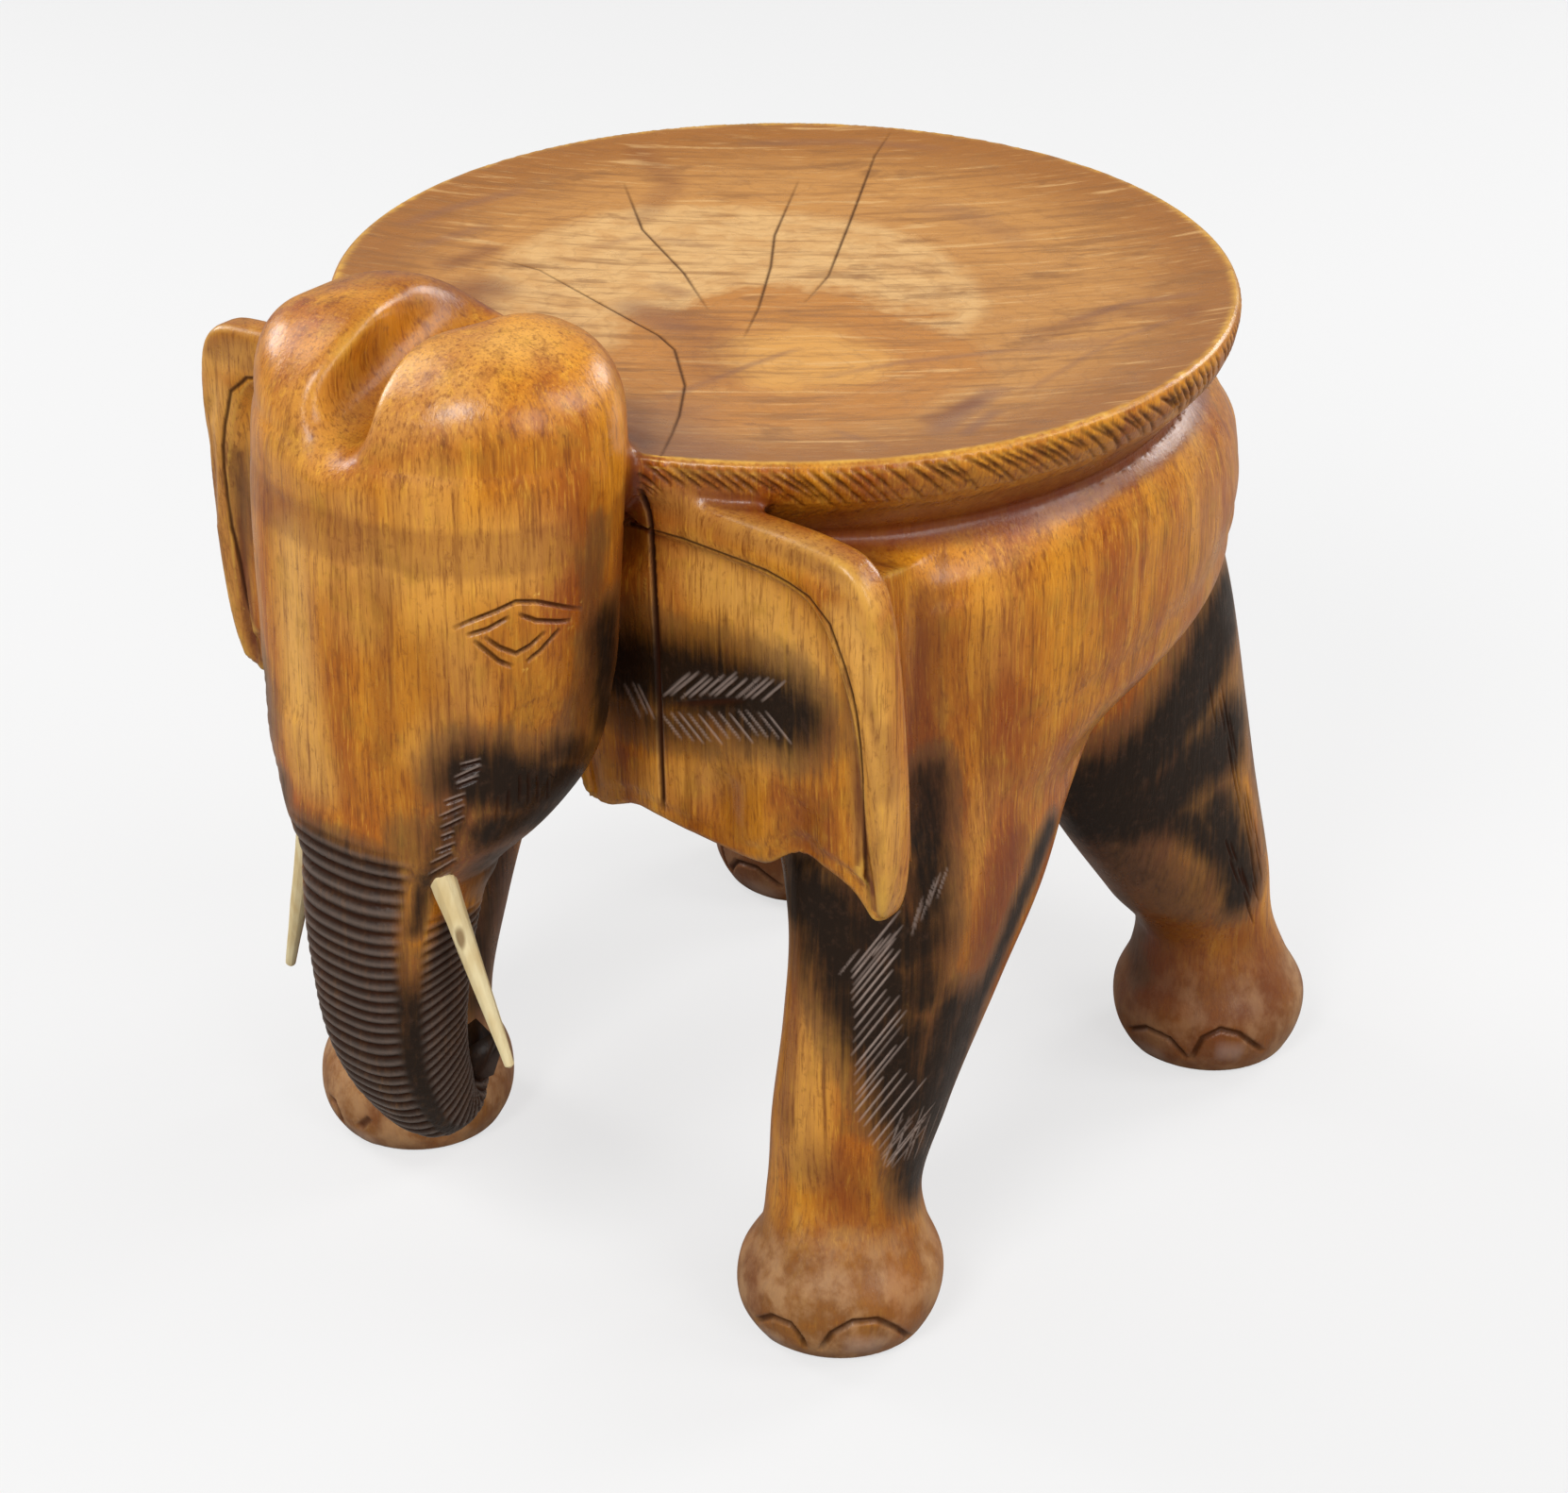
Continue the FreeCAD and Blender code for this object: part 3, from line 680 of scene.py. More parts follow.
    def tail_distance(self, points):
        cy, half, deep = self.curves["tail"].read(points[:, 2])
        side = oval(points[:, 0], points[:, 1] - cy, half, half, deep, deep, 2.0)
        ends = np.maximum(self.tail[-1][0] - points[:, 2], points[:, 2] - self.tail[0][0])
        return np.maximum(side, ends)

    def far_ear_height(self, height, lift):
        low = EAR_TIP_SHARE * self.size["seat_height"]
        return low + (height - low) * lift

    def near(self, points, name, form):
        """A form's distances, worked out only where it is near."""
        low, high, blend = self.boxes[name]
        mask = inside_box(points, low, high)
        distance = np.full(len(points), FAR_OFF)
        if mask.any():
            distance[mask] = np.minimum(form(points[mask]), FAR_OFF)
        return distance

    def distance(self, points):
        """The whole carving; only the ears differ on the two sides of its upright middle plane."""
        far = points[:, 0] < 0
        points = points.copy()
        points[:, 0] = np.abs(points[:, 0])
        at_ear = points.copy()
        at_ear[far, 2] = self.far_ear_height(points[far, 2], 1.0 / FAR_EAR_LIFT)
        blends = {name: blend for name, (low, high, blend) in self.boxes.items()}
        narrow, more, start, end = HIND_BLEND
        blends["hind"] = narrow + more * smooth_step(points[:, 1], start, end)
        body = self.near(points, "barrel", lambda p: self.barrel_distance(p, "barrel"))
        for name, form in (("belly", lambda p: self.barrel_distance(p, "belly")),
                           ("fore", lambda p: self.leg_distance(p, "fore")),
                           ("hind", lambda p: self.leg_distance(p, "hind")),
                           ("ear_root", self.ear_root_distance), ("seat", self.seat_distance),
                           ("tail", self.tail_distance)):
            body = smooth_min(body, self.near(points, name, form), blends[name])
        head = self.near(points, "head", self.head_distance)
        head = smooth_min(head, self.near(points, "trunk", self.trunk_distance), blends["trunk"])
        body = smooth_min(body, head, blends["head"])
        body = smooth_min(body, self.near(at_ear, "ear", self.ear_distance), blends["ear"])
        return smooth_max(body, -points[:, 2], 2.0)


# Helpers for modelling

def deselect_all():
    if bpy.context.object and bpy.context.object.mode != "OBJECT":
        bpy.ops.object.mode_set(mode="OBJECT")
    bpy.ops.object.select_all(action="DESELECT")


def use_only(piece):
    deselect_all()
    piece.select_set(True)
    bpy.context.view_layer.objects.active = piece


def raise_form(name, rings, tilts=None, corners=28):
    """Builds a form up from a circle by extruding, moving and scaling its end face, ring by ring.

    Each ring is its centre and its half sizes across and along; a tilt turns it about X."""
    deselect_all()
    bpy.ops.mesh.primitive_circle_add(vertices=corners, radius=1.0, fill_type="NGON", location=(0, 0, 0))
    piece = bpy.context.object
    piece.name = name
    bpy.ops.object.mode_set(mode="EDIT")
    tilts = tilts or [0.0] * len(rings)
    (centre, wide, deep), tilt = rings[0], tilts[0]
    bpy.ops.transform.resize(value=(wide, deep, 1.0), center_override=(0, 0, 0))
    if tilt:
        bpy.ops.transform.rotate(value=-tilt, orient_axis="X", center_override=(0, 0, 0))
    bpy.ops.transform.translate(value=centre)
    for (onward, wider, deeper), turn in zip(rings[1:], tilts[1:]):
        step = Vector(onward) - Vector(centre)
        bpy.ops.mesh.extrude_region_move(TRANSFORM_OT_translate={"value": step})
        bpy.ops.transform.resize(value=(wider / wide, deeper / deep, deeper / deep), center_override=onward)
        if abs(turn - tilt) > 1e-6:
            bpy.ops.transform.rotate(value=-(turn - tilt), orient_axis="X", center_override=onward)
        centre, wide, deep, tilt = onward, wider, deeper, turn
    bpy.ops.mesh.select_all(action="SELECT")
    bpy.ops.mesh.normals_make_consistent(inside=False)
    bpy.ops.object.mode_set(mode="OBJECT")
    return piece


def mirrored_copy(piece, name):
    use_only(piece)
    bpy.ops.object.duplicate()
    other = bpy.context.object
    other.name = name
    bpy.ops.object.mode_set(mode="EDIT")
    bpy.ops.mesh.select_all(action="SELECT")
    bpy.ops.transform.resize(value=(-1.0, 1.0, 1.0), center_override=(0, 0, 0))
    bpy.ops.mesh.normals_make_consistent(inside=False)
    bpy.ops.object.mode_set(mode="OBJECT")
    return other


def remesh(piece, voxel):
    use_only(piece)
    modifier = piece.modifiers.new("Remesh", "REMESH")
    modifier.mode = "VOXEL"
    modifier.voxel_size = voxel * MM
    modifier.adaptivity = 0.0
    bpy.ops.object.modifier_apply(modifier=modifier.name)


def log_points(piece):
    """Vertex places in millimetres about the seat's axis."""
    flat = np.empty(len(piece.data.vertices) * 3, np.float32)
    piece.data.vertices.foreach_get("co", flat)
    return flat.reshape(-1, 3).astype(float) / MM - (0.0, SEAT_AXIS_Y, 0.0)


def put_points(piece, points):
    points = (points + (0.0, SEAT_AXIS_Y, 0.0)) * MM
    piece.data.vertices.foreach_set("co", points.astype(np.float32).ravel())
    piece.data.update()


def edge_ends(piece):
    """Indices of the two vertices of every edge."""
    pairs = np.empty(len(piece.data.edges) * 2, np.int32)
    piece.data.edges.foreach_get("vertices", pairs)
    return pairs.reshape(-1, 2).T


def vertex_normals(piece):
    flat = np.empty(len(piece.data.vertices) * 3, np.float32)
    piece.data.vertex_normals.foreach_get("vector", flat)
    return flat.reshape(-1, 3).astype(float)


def steepest(forms, points, away):
    """Direction in which the distance to the forms grows fastest, and how fast, at each point."""
    slope = np.empty_like(points)
    for axis in range(3):
        moved = points.copy()
        moved[:, axis] += PROBE
        slope[:, axis] = (forms.distance(moved) - away) / PROBE
    rate = np.linalg.norm(slope, axis=1)
    return slope / np.maximum(rate, 1e-3)[:, None], rate


def settle(piece, forms, rounds=3, limit=8.0, nearest=False):
    """Moves the surface onto the smooth forms, along its normals or to the nearest place on them."""
    points = log_points(piece)
    for _ in range(rounds):
        away = forms.distance(points)
        if nearest:
            ways, rate = steepest(forms, points, away)
        else:
            ways = vertex_normals(piece)
            rate = (forms.distance(points + PROBE * ways) - away) / PROBE
        steps = np.clip(away, -limit, limit) / np.maximum(rate, 1.0)
        points = points - ways * steps[:, None]
        put_points(piece, points)


def even_out(piece, rounds, factor=0.5):
    """Evens the spacing of the vertices."""
    use_only(piece)
    modifier = piece.modifiers.new("Smooth", "SMOOTH")
    modifier.factor = factor
    modifier.iterations = rounds
    bpy.ops.object.modifier_apply(modifier=modifier.name)


def rough_out(forms):
    """The whole animal from simple forms, joined into one rough piece."""
    def place(x, y, z):
        return (x * MM, (y + SEAT_AXIS_Y) * MM, z * MM)

    parts = []
    for name, rows in (("fore_leg", forms.fore), ("hind_leg", forms.hind)):
        rings = [(place(cx + (outer - inner) / 2, cy + (rear - front) / 2, up),
                  (outer + inner) / 2 * MM, (front + rear) / 2 * MM)
                 for up, cx, cy, outer, inner, front, rear, full in rows]
        leg = raise_form(name, rings)
        parts += [leg, mirrored_copy(leg, name + "_right")]
    for name, rows in (("barrel", forms.barrel), ("belly", forms.belly)):
        rings, tilts = [], []
        for up, lift, cy, half, front, rear, full in rows:
            rings.append((place(0, cy + (rear - front) / 2, up + lift / 2), half * MM,
                          (front + rear) / 2 * MM))
            tilts.append(math.atan2(lift, front + rear))
        parts.append(raise_form(name, rings, tilts))
    rings = [(place(0, cy + (rear - front) / 2, up), half * MM, (front + rear) / 2 * MM)
             for up, cy, half, front, rear, full in forms.head]
    head = raise_form("head", rings)
    cut_valley(head, forms)
    parts.append(head)
    rings, tilts = [], []
    rows = forms.trunk
    for index, (y, z, half, deep, full) in enumerate(rows):
        before, after = rows[max(index - 1, 0)], rows[min(index + 1, len(rows) - 1)]
        rings.append((place(0, y, z), half * MM, deep * MM))
        heading = math.atan2(after[1] - before[1], after[0] - before[0])
        tilt = heading - math.pi / 2
        if tilts:
            while tilt - tilts[-1] > math.pi:
                tilt -= 2 * math.pi
            while tilt - tilts[-1] < -math.pi:
                tilt += 2 * math.pi
        tilts.append(tilt)
    parts.append(raise_form("trunk", rings, tilts))
    rings = [(place(0, 0, up), max(radius, 1.0) * MM, max(radius, 1.0) * MM)
             for radius, up in forms.seat[::-1] if radius > 0]
    parts.append(raise_form("seat", rings))
    rings = [(place(0, cy, up), half * MM, deep * MM) for up, cy, half, deep in forms.tail]
    parts.append(raise_form("tail", rings))
    for name, scale, front, depth in (("ear", 1.0, forms.size["ear_front"] - 2.0,
                                       forms.size["ear_thickness"]),
                                      ("ear_root", 0.74, forms.size["ear_front"] - 10.0, 70.0)):
        ear = rough_ear(name, forms, scale, front, depth)
        parts += [ear, mirrored_copy(ear, name + "_right")]
    deselect_all()
    for part in parts:
        part.select_set(True)
    bpy.context.view_layer.objects.active = parts[0]
    bpy.ops.object.join()
    log = bpy.context.object
    log.name = "carving"
    return log


def cut_valley(head, forms):
    """Cuts the valley between the domes out of the rough head with a sloping cylinder."""
    radius = VALLEY_RADIUS_SHARE * forms.half_head * ROUGH_VALLEY_SHARE
    back, brow = [Vector((0, (SEAT_AXIS_Y - out * forms.size["head_centre"]) * MM,
                          (up * forms.size["head_height"] + radius) * MM))
                  for out, up in (VALLEY_BACK_SHARES, VALLEY_BROW_SHARES)]
    slope = (brow - back).to_track_quat("Z", "Y").to_euler()
    deselect_all()
    bpy.ops.mesh.primitive_cylinder_add(vertices=40, radius=radius * MM, depth=(brow - back).length * 3,
                                        location=(brow + back) / 2, rotation=slope)
    cutter = bpy.context.object
    use_only(head)
    modifier = head.modifiers.new("Valley", "BOOLEAN")
    modifier.operation = "DIFFERENCE"
    modifier.object = cutter
    bpy.ops.object.modifier_apply(modifier=modifier.name)
    use_only(cutter)
    bpy.ops.object.delete()


def rough_ear(name, forms, scale, front, depth):
    """A flap with the ear's outline, from a disc whose rim is drawn out to it and then extruded."""
    outline = forms.ear_line[::2]
    middle = outline.mean(axis=0)
    outline = middle + (outline - middle) * scale
    deselect_all()
    bpy.ops.mesh.primitive_circle_add(vertices=len(outline), radius=0.1, fill_type="NGON",
                                      location=(0, 0, 0), rotation=(math.pi / 2, 0, 0))
    bpy.ops.object.transform_apply(location=True, rotation=True, scale=True)
    ear = bpy.context.object
    ear.name = name
    for vertex, (x, z) in zip(ear.data.vertices, outline):
        vertex.co = (x * MM, (SEAT_AXIS_Y - front) * MM, z * MM)
    bpy.ops.object.mode_set(mode="EDIT")
    bpy.ops.mesh.select_all(action="SELECT")
    bpy.ops.mesh.extrude_region_move(TRANSFORM_OT_translate={"value": (0, depth * MM, 0)})
    if scale < 1.0:
        centre = (middle[0] * MM, (SEAT_AXIS_Y - front + depth) * MM, middle[1] * MM)
        bpy.ops.transform.resize(value=(scale, 1.0, scale), center_override=centre)
    bpy.ops.mesh.select_all(action="SELECT")
    bpy.ops.mesh.normals_make_consistent(inside=False)
    bpy.ops.object.mode_set(mode="OBJECT")
    return ear


# Strokes of the gouge and the torch, and passes of painted shade and painted highlight

# Marks painted on the surface; the golden and sharp-edge marks are partly painted highlight, the burnt and
# reddish-brown marks partly painted shade.
MARKS = ("scorch_and_shade", "cut", "pale", "tan", "edge", "hollow", "seat_top", "red", "gold", "smudge")


class Stroke:
    """One pass of a tool: a path over the surface, its width and depth, and what it leaves behind."""

    def __init__(self, path, width, depth=0.0, taper=0.25, power=1.0, facing=None, **marks):
        self.path = np.asarray(path, float)
        self.width = width
        self.depth = depth
        self.taper = taper
        self.power = power
        self.facing = facing
        self.marks = marks

    def mirrored(self):
        facing = None if self.facing is None else (-self.facing[0], self.facing[1], self.facing[2])
        return Stroke(self.path * (-1, 1, 1), self.width, self.depth, self.taper, self.power, facing,
                      **self.marks)


class Surface:
    """Points and normals of the carving, with a grid that finds the points near a stroke."""
    CELL = 8.0

    def __init__(self, points, normals):
        self.points = points
        self.normals = normals
        self.cut = np.zeros(len(points))
        self.open = np.ones(len(points))
        self.marks = {name: np.zeros(len(points)) for name in MARKS}
        self.low = points.min(axis=0) - self.CELL
        cells = ((points - self.low) / self.CELL).astype(int)
        self.counts = cells.max(axis=0) + 2
        keys = (cells[:, 0] * self.counts[1] + cells[:, 1]) * self.counts[2] + cells[:, 2]
        self.order = np.argsort(keys, kind="stable")
        self.keys = keys[self.order]

    def around(self, low, high):
        low = np.maximum(((low - self.low) / self.CELL).astype(int), 0)
        high = np.minimum(((high - self.low) / self.CELL).astype(int), self.counts - 1)
        found = []
        for i in range(low[0], high[0] + 1):
            row = np.arange(low[1], high[1] + 1)
            base = (i * self.counts[1] + row) * self.counts[2]
            first = np.searchsorted(self.keys, base + low[2], side="left")
            last = np.searchsorted(self.keys, base + high[2], side="right")
            found += [self.order[a:b] for a, b in zip(first, last) if b > a]
        return np.concatenate(found) if found else np.zeros(0, int)

    def beside(self, path, reach):
        """Points within reach of a path, how far they are from it, and how far along it they lie."""
        at = self.around(path.min(axis=0) - reach, path.max(axis=0) + reach)
        near = self.points[at]
        gap = np.full(len(at), 1e9)
        run = np.zeros(len(at))
        start = 0.0
        for a, b in zip(path[:-1], path[1:]):
            onward = b - a
            length = max(np.linalg.norm(onward), 1e-6)
            offset = near - a
            t = np.clip(offset @ onward / length ** 2, 0.0, 1.0)
            away = np.linalg.norm(offset - t[:, None] * onward, axis=1)
            closer = away < gap
            gap = np.where(closer, away, gap)
            run = np.where(closer, start + t * length, run)
            start += length
        inside = gap < reach
        return at[inside], gap[inside], run[inside], start

    def apply(self, stroke):
        reach = stroke.width / 2
        at, gap, run, total = self.beside(stroke.path, reach)
        if not len(at):
            return
        strength = (1.0 - (gap / reach) ** 2) ** stroke.power
        if stroke.taper:
            ends = np.minimum(run, total - run) / (stroke.taper * total)
            strength = strength * np.sqrt(np.clip(ends, 0.0, 1.0))
        if stroke.facing is not None:
            strength = strength * np.clip(self.normals[at] @ np.asarray(stroke.facing) * 2.0, 0.0, 1.0)
        self.cut[at] += stroke.depth * strength
        for name, value in stroke.marks.items():
            self.marks[name][at] = np.maximum(self.marks[name][at], value * strength)


class Photograph:
    """Rays through pixels of the photograph, from its camera onto the carving."""

    def __init__(self, piece):
        self.piece = piece
        self.look = np.array([-math.sin(CAMERA_YAW) * math.cos(CAMERA_PITCH),
                              math.cos(CAMERA_YAW) * math.cos(CAMERA_PITCH), -math.sin(CAMERA_PITCH)])
        self.right = np.array([math.cos(CAMERA_YAW), math.sin(CAMERA_YAW), 0.0])
        self.up = np.cross(self.right, self.look)
        self.eye = (CAMERA_PLACE + (0.0, SEAT_AXIS_Y, 0.0)) * MM

    def place(self, pixel):
        across = (pixel[0] - PHOTO_WIDTH / 2) / PHOTO_FOCAL
        down = (pixel[1] - PHOTO_HEIGHT / 2) / PHOTO_FOCAL
        ray = self.look + across * self.right - down * self.up
        hit, place, normal, index = self.piece.ray_cast(Vector(self.eye), Vector(ray).normalized())
        if not hit:
            return None
        return np.array(place) / MM - (0.0, SEAT_AXIS_Y, 0.0)

    def trace(self, pixels, step=7.0):
        """Places on the carving under a line drawn over the photograph."""
        pixels = np.asarray(pixels, float)
        places = []
        for a, b in zip(pixels[:-1], pixels[1:]):
            count = max(int(np.hypot(*(b - a)) / step), 1)
            for t in np.arange(count) / count:
                places.append(self.place(a + (b - a) * t))
        places.append(self.place(pixels[-1]))
        return np.array([place for place in places if place is not None])


# Lines drawn over the photograph, as pixels of its frame.
EYE_LINES = (
    ((479, 667), (500, 658), (526, 648), (547, 638), (569, 638), (601, 644), (617, 646)),
    ((494, 674), (517, 667), (540, 654)),
    ((549, 651), (569, 658), (592, 659), (606, 658)),
    ((513, 675), (529, 686), (547, 693), (563, 684), (579, 669)),
    ((502, 679), (517, 691), (529, 701), (544, 707)),
    ((558, 702), (574, 689), (594, 666)),
)
CHEEK_CREASE = ((556, 742), (541, 782), (537, 800), (526, 818))
EAR_GROOVE = ((660, 554), (691, 562), (722, 571), (752, 582), (782, 593), (812, 605), (835, 618), (857, 633),
              (879, 662), (895, 707), (903, 735), (908, 761), (912, 795), (914, 825), (917, 905), (922, 968))
EAR_FOLD = ((915, 705), (922, 760), (935, 830))
EAR_SCALLOPS = (((765, 820), (758, 850), (766, 885)), ((848, 850), (838, 880), (850, 920)))
EAR_CHECK = ((679, 518), (688, 545), (690, 560), (694, 640), (697, 700), (700, 800), (703, 875))
SEAT_CHECKS = (
    ((692, 525), (697, 490), (712, 460), (720, 440), (726, 408), (715, 370), (698, 355), (632, 319),
     (572, 286), (509, 269)),
    ((661, 193), (681, 243), (725, 289), (751, 329)),
    ((847, 190), (821, 249), (817, 282), (804, 326), (788, 359)),
    ((944, 140), (927, 165), (901, 234), (878, 292), (852, 322)),
)
LIP_CUTS = (
    ((487, 814), (510, 807)), ((481, 828), (511, 814)), ((483, 835), (508, 825)),
    ((470, 853), (494, 844)), ((465, 869), (493, 856)), ((466, 881), (493, 868)),
    ((467, 890), (482, 884)), ((461, 905), (483, 896)), ((456, 918), (480, 906)),
    ((453, 931), (485, 912)), ((461, 937), (478, 927)),
)
JAW_CUTS = (
    ((552, 820), (551, 850)), ((562, 818), (560, 852)), ((571, 822), (570, 850)),
    ((540, 835), (538, 865)), ((582, 826), (580, 846)), ((528, 842), (526, 872)),
)
LEFT_FRONT_NAILS = (
    ((801, 1399), (818, 1395), (838, 1404), (850, 1420), (858, 1438)),
    ((865, 1437), (881, 1414), (904, 1401), (931, 1399), (951, 1408), (964, 1417)),
)
LEFT_HIND_NAILS = (
    ((1188, 1085), (1196, 1091), (1214, 1089), (1239, 1101), (1259, 1123)),
    ((1262, 1123), (1274, 1101), (1294, 1091), (1314, 1096), (1339, 1114)),
)
NAIL_FACES = (
    ((812, 1414), (832, 1424)), ((892, 1426), (938, 1426)),
    ((1206, 1108), (1236, 1120)), ((1286, 1114), (1318, 1116)),
)
RIGHT_FRONT_NAILS = (
    ((338, 1150), (355, 1169), (364, 1190), (370, 1211)),
    ((392, 1185), (380, 1195), (371, 1211)),
)
LEG_SCRATCH_START = ((902, 1030), (904, 1068), (905, 1130), (906, 1181), (931, 1220), (943, 1240))
LEG_SCRATCH_RUN = (50, -62)

SCULPT_LINES = (
    (((392, 560), (398, 680), (398, 800)), 44.0, 2.4),
    (((560, 745), (580, 790), (560, 830)), 30.0, 1.6),
    (((520, 760), (480, 800)), 34.0, -0.8),
    (((770, 800), (765, 880)), 26.0, 1.6),
    (((850, 840), (845, 915)), 24.0, 1.6),
    (((812, 800), (812, 920)), 16.0, -0.8),
    (((905, 660), (935, 740), (945, 820)), 11.0, 1.0),
)
# Golden wood, partly painted highlights on the domes, the brow, the ears and the trunk's left edge.
GOLD_AND_HIGHLIGHT_LINES = (
    (((1010, 960), (1050, 840)), 20.0, 0.35),
    (((450, 520), (455, 640)), 26.0, 0.5),
    (((370, 540), (375, 660)), 22.0, 0.45),
    (((400, 430), (430, 420), (470, 410)), 30.0, 0.8),
    (((306, 575), (306, 660), (316, 740), (330, 820)), 22.0, 1.0),
    (((340, 590), (440, 605), (560, 590)), 30.0, 0.6),
    (((420, 400), (480, 370), (560, 360)), 24.0, 0.8),
    (((330, 420), (310, 520)), 30.0, 0.4),
    (((470, 640), (500, 740), (450, 800)), 16.0, 0.5),
    (((700, 530), (780, 555), (860, 585), (925, 640)), 13.0, 0.8),
    (((905, 660), (925, 760), (940, 860), (935, 960)), 16.0, 0.9),
    (((740, 600), (800, 640), (840, 700)), 34.0, 0.9),
    (((720, 590), (700, 640)), 20.0, 0.5),
    (((690, 840), (760, 810), (830, 790)), 20.0, 0.5),
    (((240, 420), (250, 560), (270, 690)), 9.0, 0.8),
    (((1270, 480), (1285, 600)), 26.0, 0.35),
    (((860, 1090), (850, 1180), (850, 1230)), 22.0, 0.6),
    (((1060, 600), (1060, 700)), 20.0, 0.25),
    (((1330, 790), (1310, 720)), 14.0, 0.35),
)
# Burnt patches, partly painted shade under the jaw, behind the ear's edge, between the head and the ear and
# on the hind legs.
SCORCH_AND_SHADE_LINES = (
    (((632, 560), (628, 640), (620, 720), (600, 780)), 13.0, 0.45, None),
    (((528, 905), (512, 980), (508, 1050)), 30.0, 0.72, None),
    (((560, 830), (590, 800), (625, 800)), 20.0, 0.8, None),
    (((1165, 845), (1240, 850)), 28.0, 0.8, None),
    (((650, 705), (700, 712), (760, 728), (832, 752)), 40.0, 0.97, (0, -1, 0)),
    (((642, 660), (640, 760)), 24.0, 0.85, None),
    (((655, 745), (690, 765), (740, 770)), 22.0, 0.7, (0, -1, 0)),
    (((505, 822), (560, 838), (612, 832)), 32.0, 0.98, None),
    (((505, 810), (480, 870), (462, 925)), 15.0, 0.75, None),
    (((525, 880), (575, 862)), 26.0, 0.9, None),
    (((850, 950), (900, 985), (965, 1000)), 40.0, 0.95, None),
    (((890, 1000), (930, 1060)), 46.0, 0.97, None),
    (((915, 1060), (945, 1110)), 40.0, 0.97, None),
    (((940, 1100), (960, 1170)), 34.0, 0.95, None),
    (((955, 1170), (966, 1235)), 24.0, 0.9, None),
    (((983, 830), (983, 960), (975, 1060)), 24.0, 0.85, None),
    (((1000, 1060), (990, 1120), (978, 1180)), 22.0, 0.7, None),
    (((1112, 880), (1056, 1020), (1034, 1070)), 16.0, 0.9, None),
    (((1028, 1070), (995, 1175), (972, 1245)), 28.0, 0.95, None),
    (((1006, 1070), (990, 1130), (978, 1190)), 22.0, 0.9, None),
    (((1150, 880), (1200, 925)), 36.0, 0.62, None),
    (((1195, 900), (1235, 940), (1275, 950)), 34.0, 0.5, None),
    (((1250, 870), (1300, 900)), 22.0, 0.9, None),
    (((1192, 950), (1208, 1030)), 15.0, 0.5, None),
    (((1160, 838), (1215, 806), (1262, 742), (1300, 650)), 44.0, 1.0, None),
    (((1165, 870), (1230, 850), (1300, 780)), 46.0, 0.98, None),
    (((1290, 860), (1318, 940)), 30.0, 0.95, None),
    (((1310, 600), (1316, 700), (1328, 800), (1340, 880)), 20.0, 0.6, None),
    (((300, 830), (306, 900)), 16.0, 0.7, None),
    (((440, 985), (452, 930)), 9.0, 0.75, None),
)
SMUDGE_LINES = (
    (((985, 462), (1030, 430), (1062, 408)), 10.0, 0.9),
    (((1020, 462), (1060, 432)), 6.0, 0.8),
    (((650, 318), (700, 340), (735, 352)), 15.0, 0.6),
    (((690, 300), (735, 315)), 9.0, 0.5),
    (((740, 408), (800, 385), (850, 368)), 3.5, 0.7),
    (((700, 425), (760, 400)), 4.5, 0.5),
    (((870, 400), (950, 385), (1100, 368)), 4.0, 0.6),
    (((1080, 370), (1180, 362)), 12.0, 0.45),
    (((1120, 345), (1200, 320), (1280, 310)), 5.0, 0.6),
    (((1080, 420), (1180, 360), (1270, 330)), 3.5, 0.5),
    (((780, 152), (900, 150), (1010, 158)), 5.0, 0.5),
    (((420, 240), (480, 220), (560, 200)), 5.0, 0.6),
    (((440, 262), (520, 238)), 5.0, 0.5),
    (((700, 420), (720, 480), (790, 490)), 34.0, 0.55),
    (((620, 265), (680, 250), (760, 262)), 5.0, 0.35),
    (((960, 215), (1020, 225), (1090, 260)), 12.0, 0.3),
    (((880, 455), (930, 470), (940, 475)), 4.0, 0.35),
)
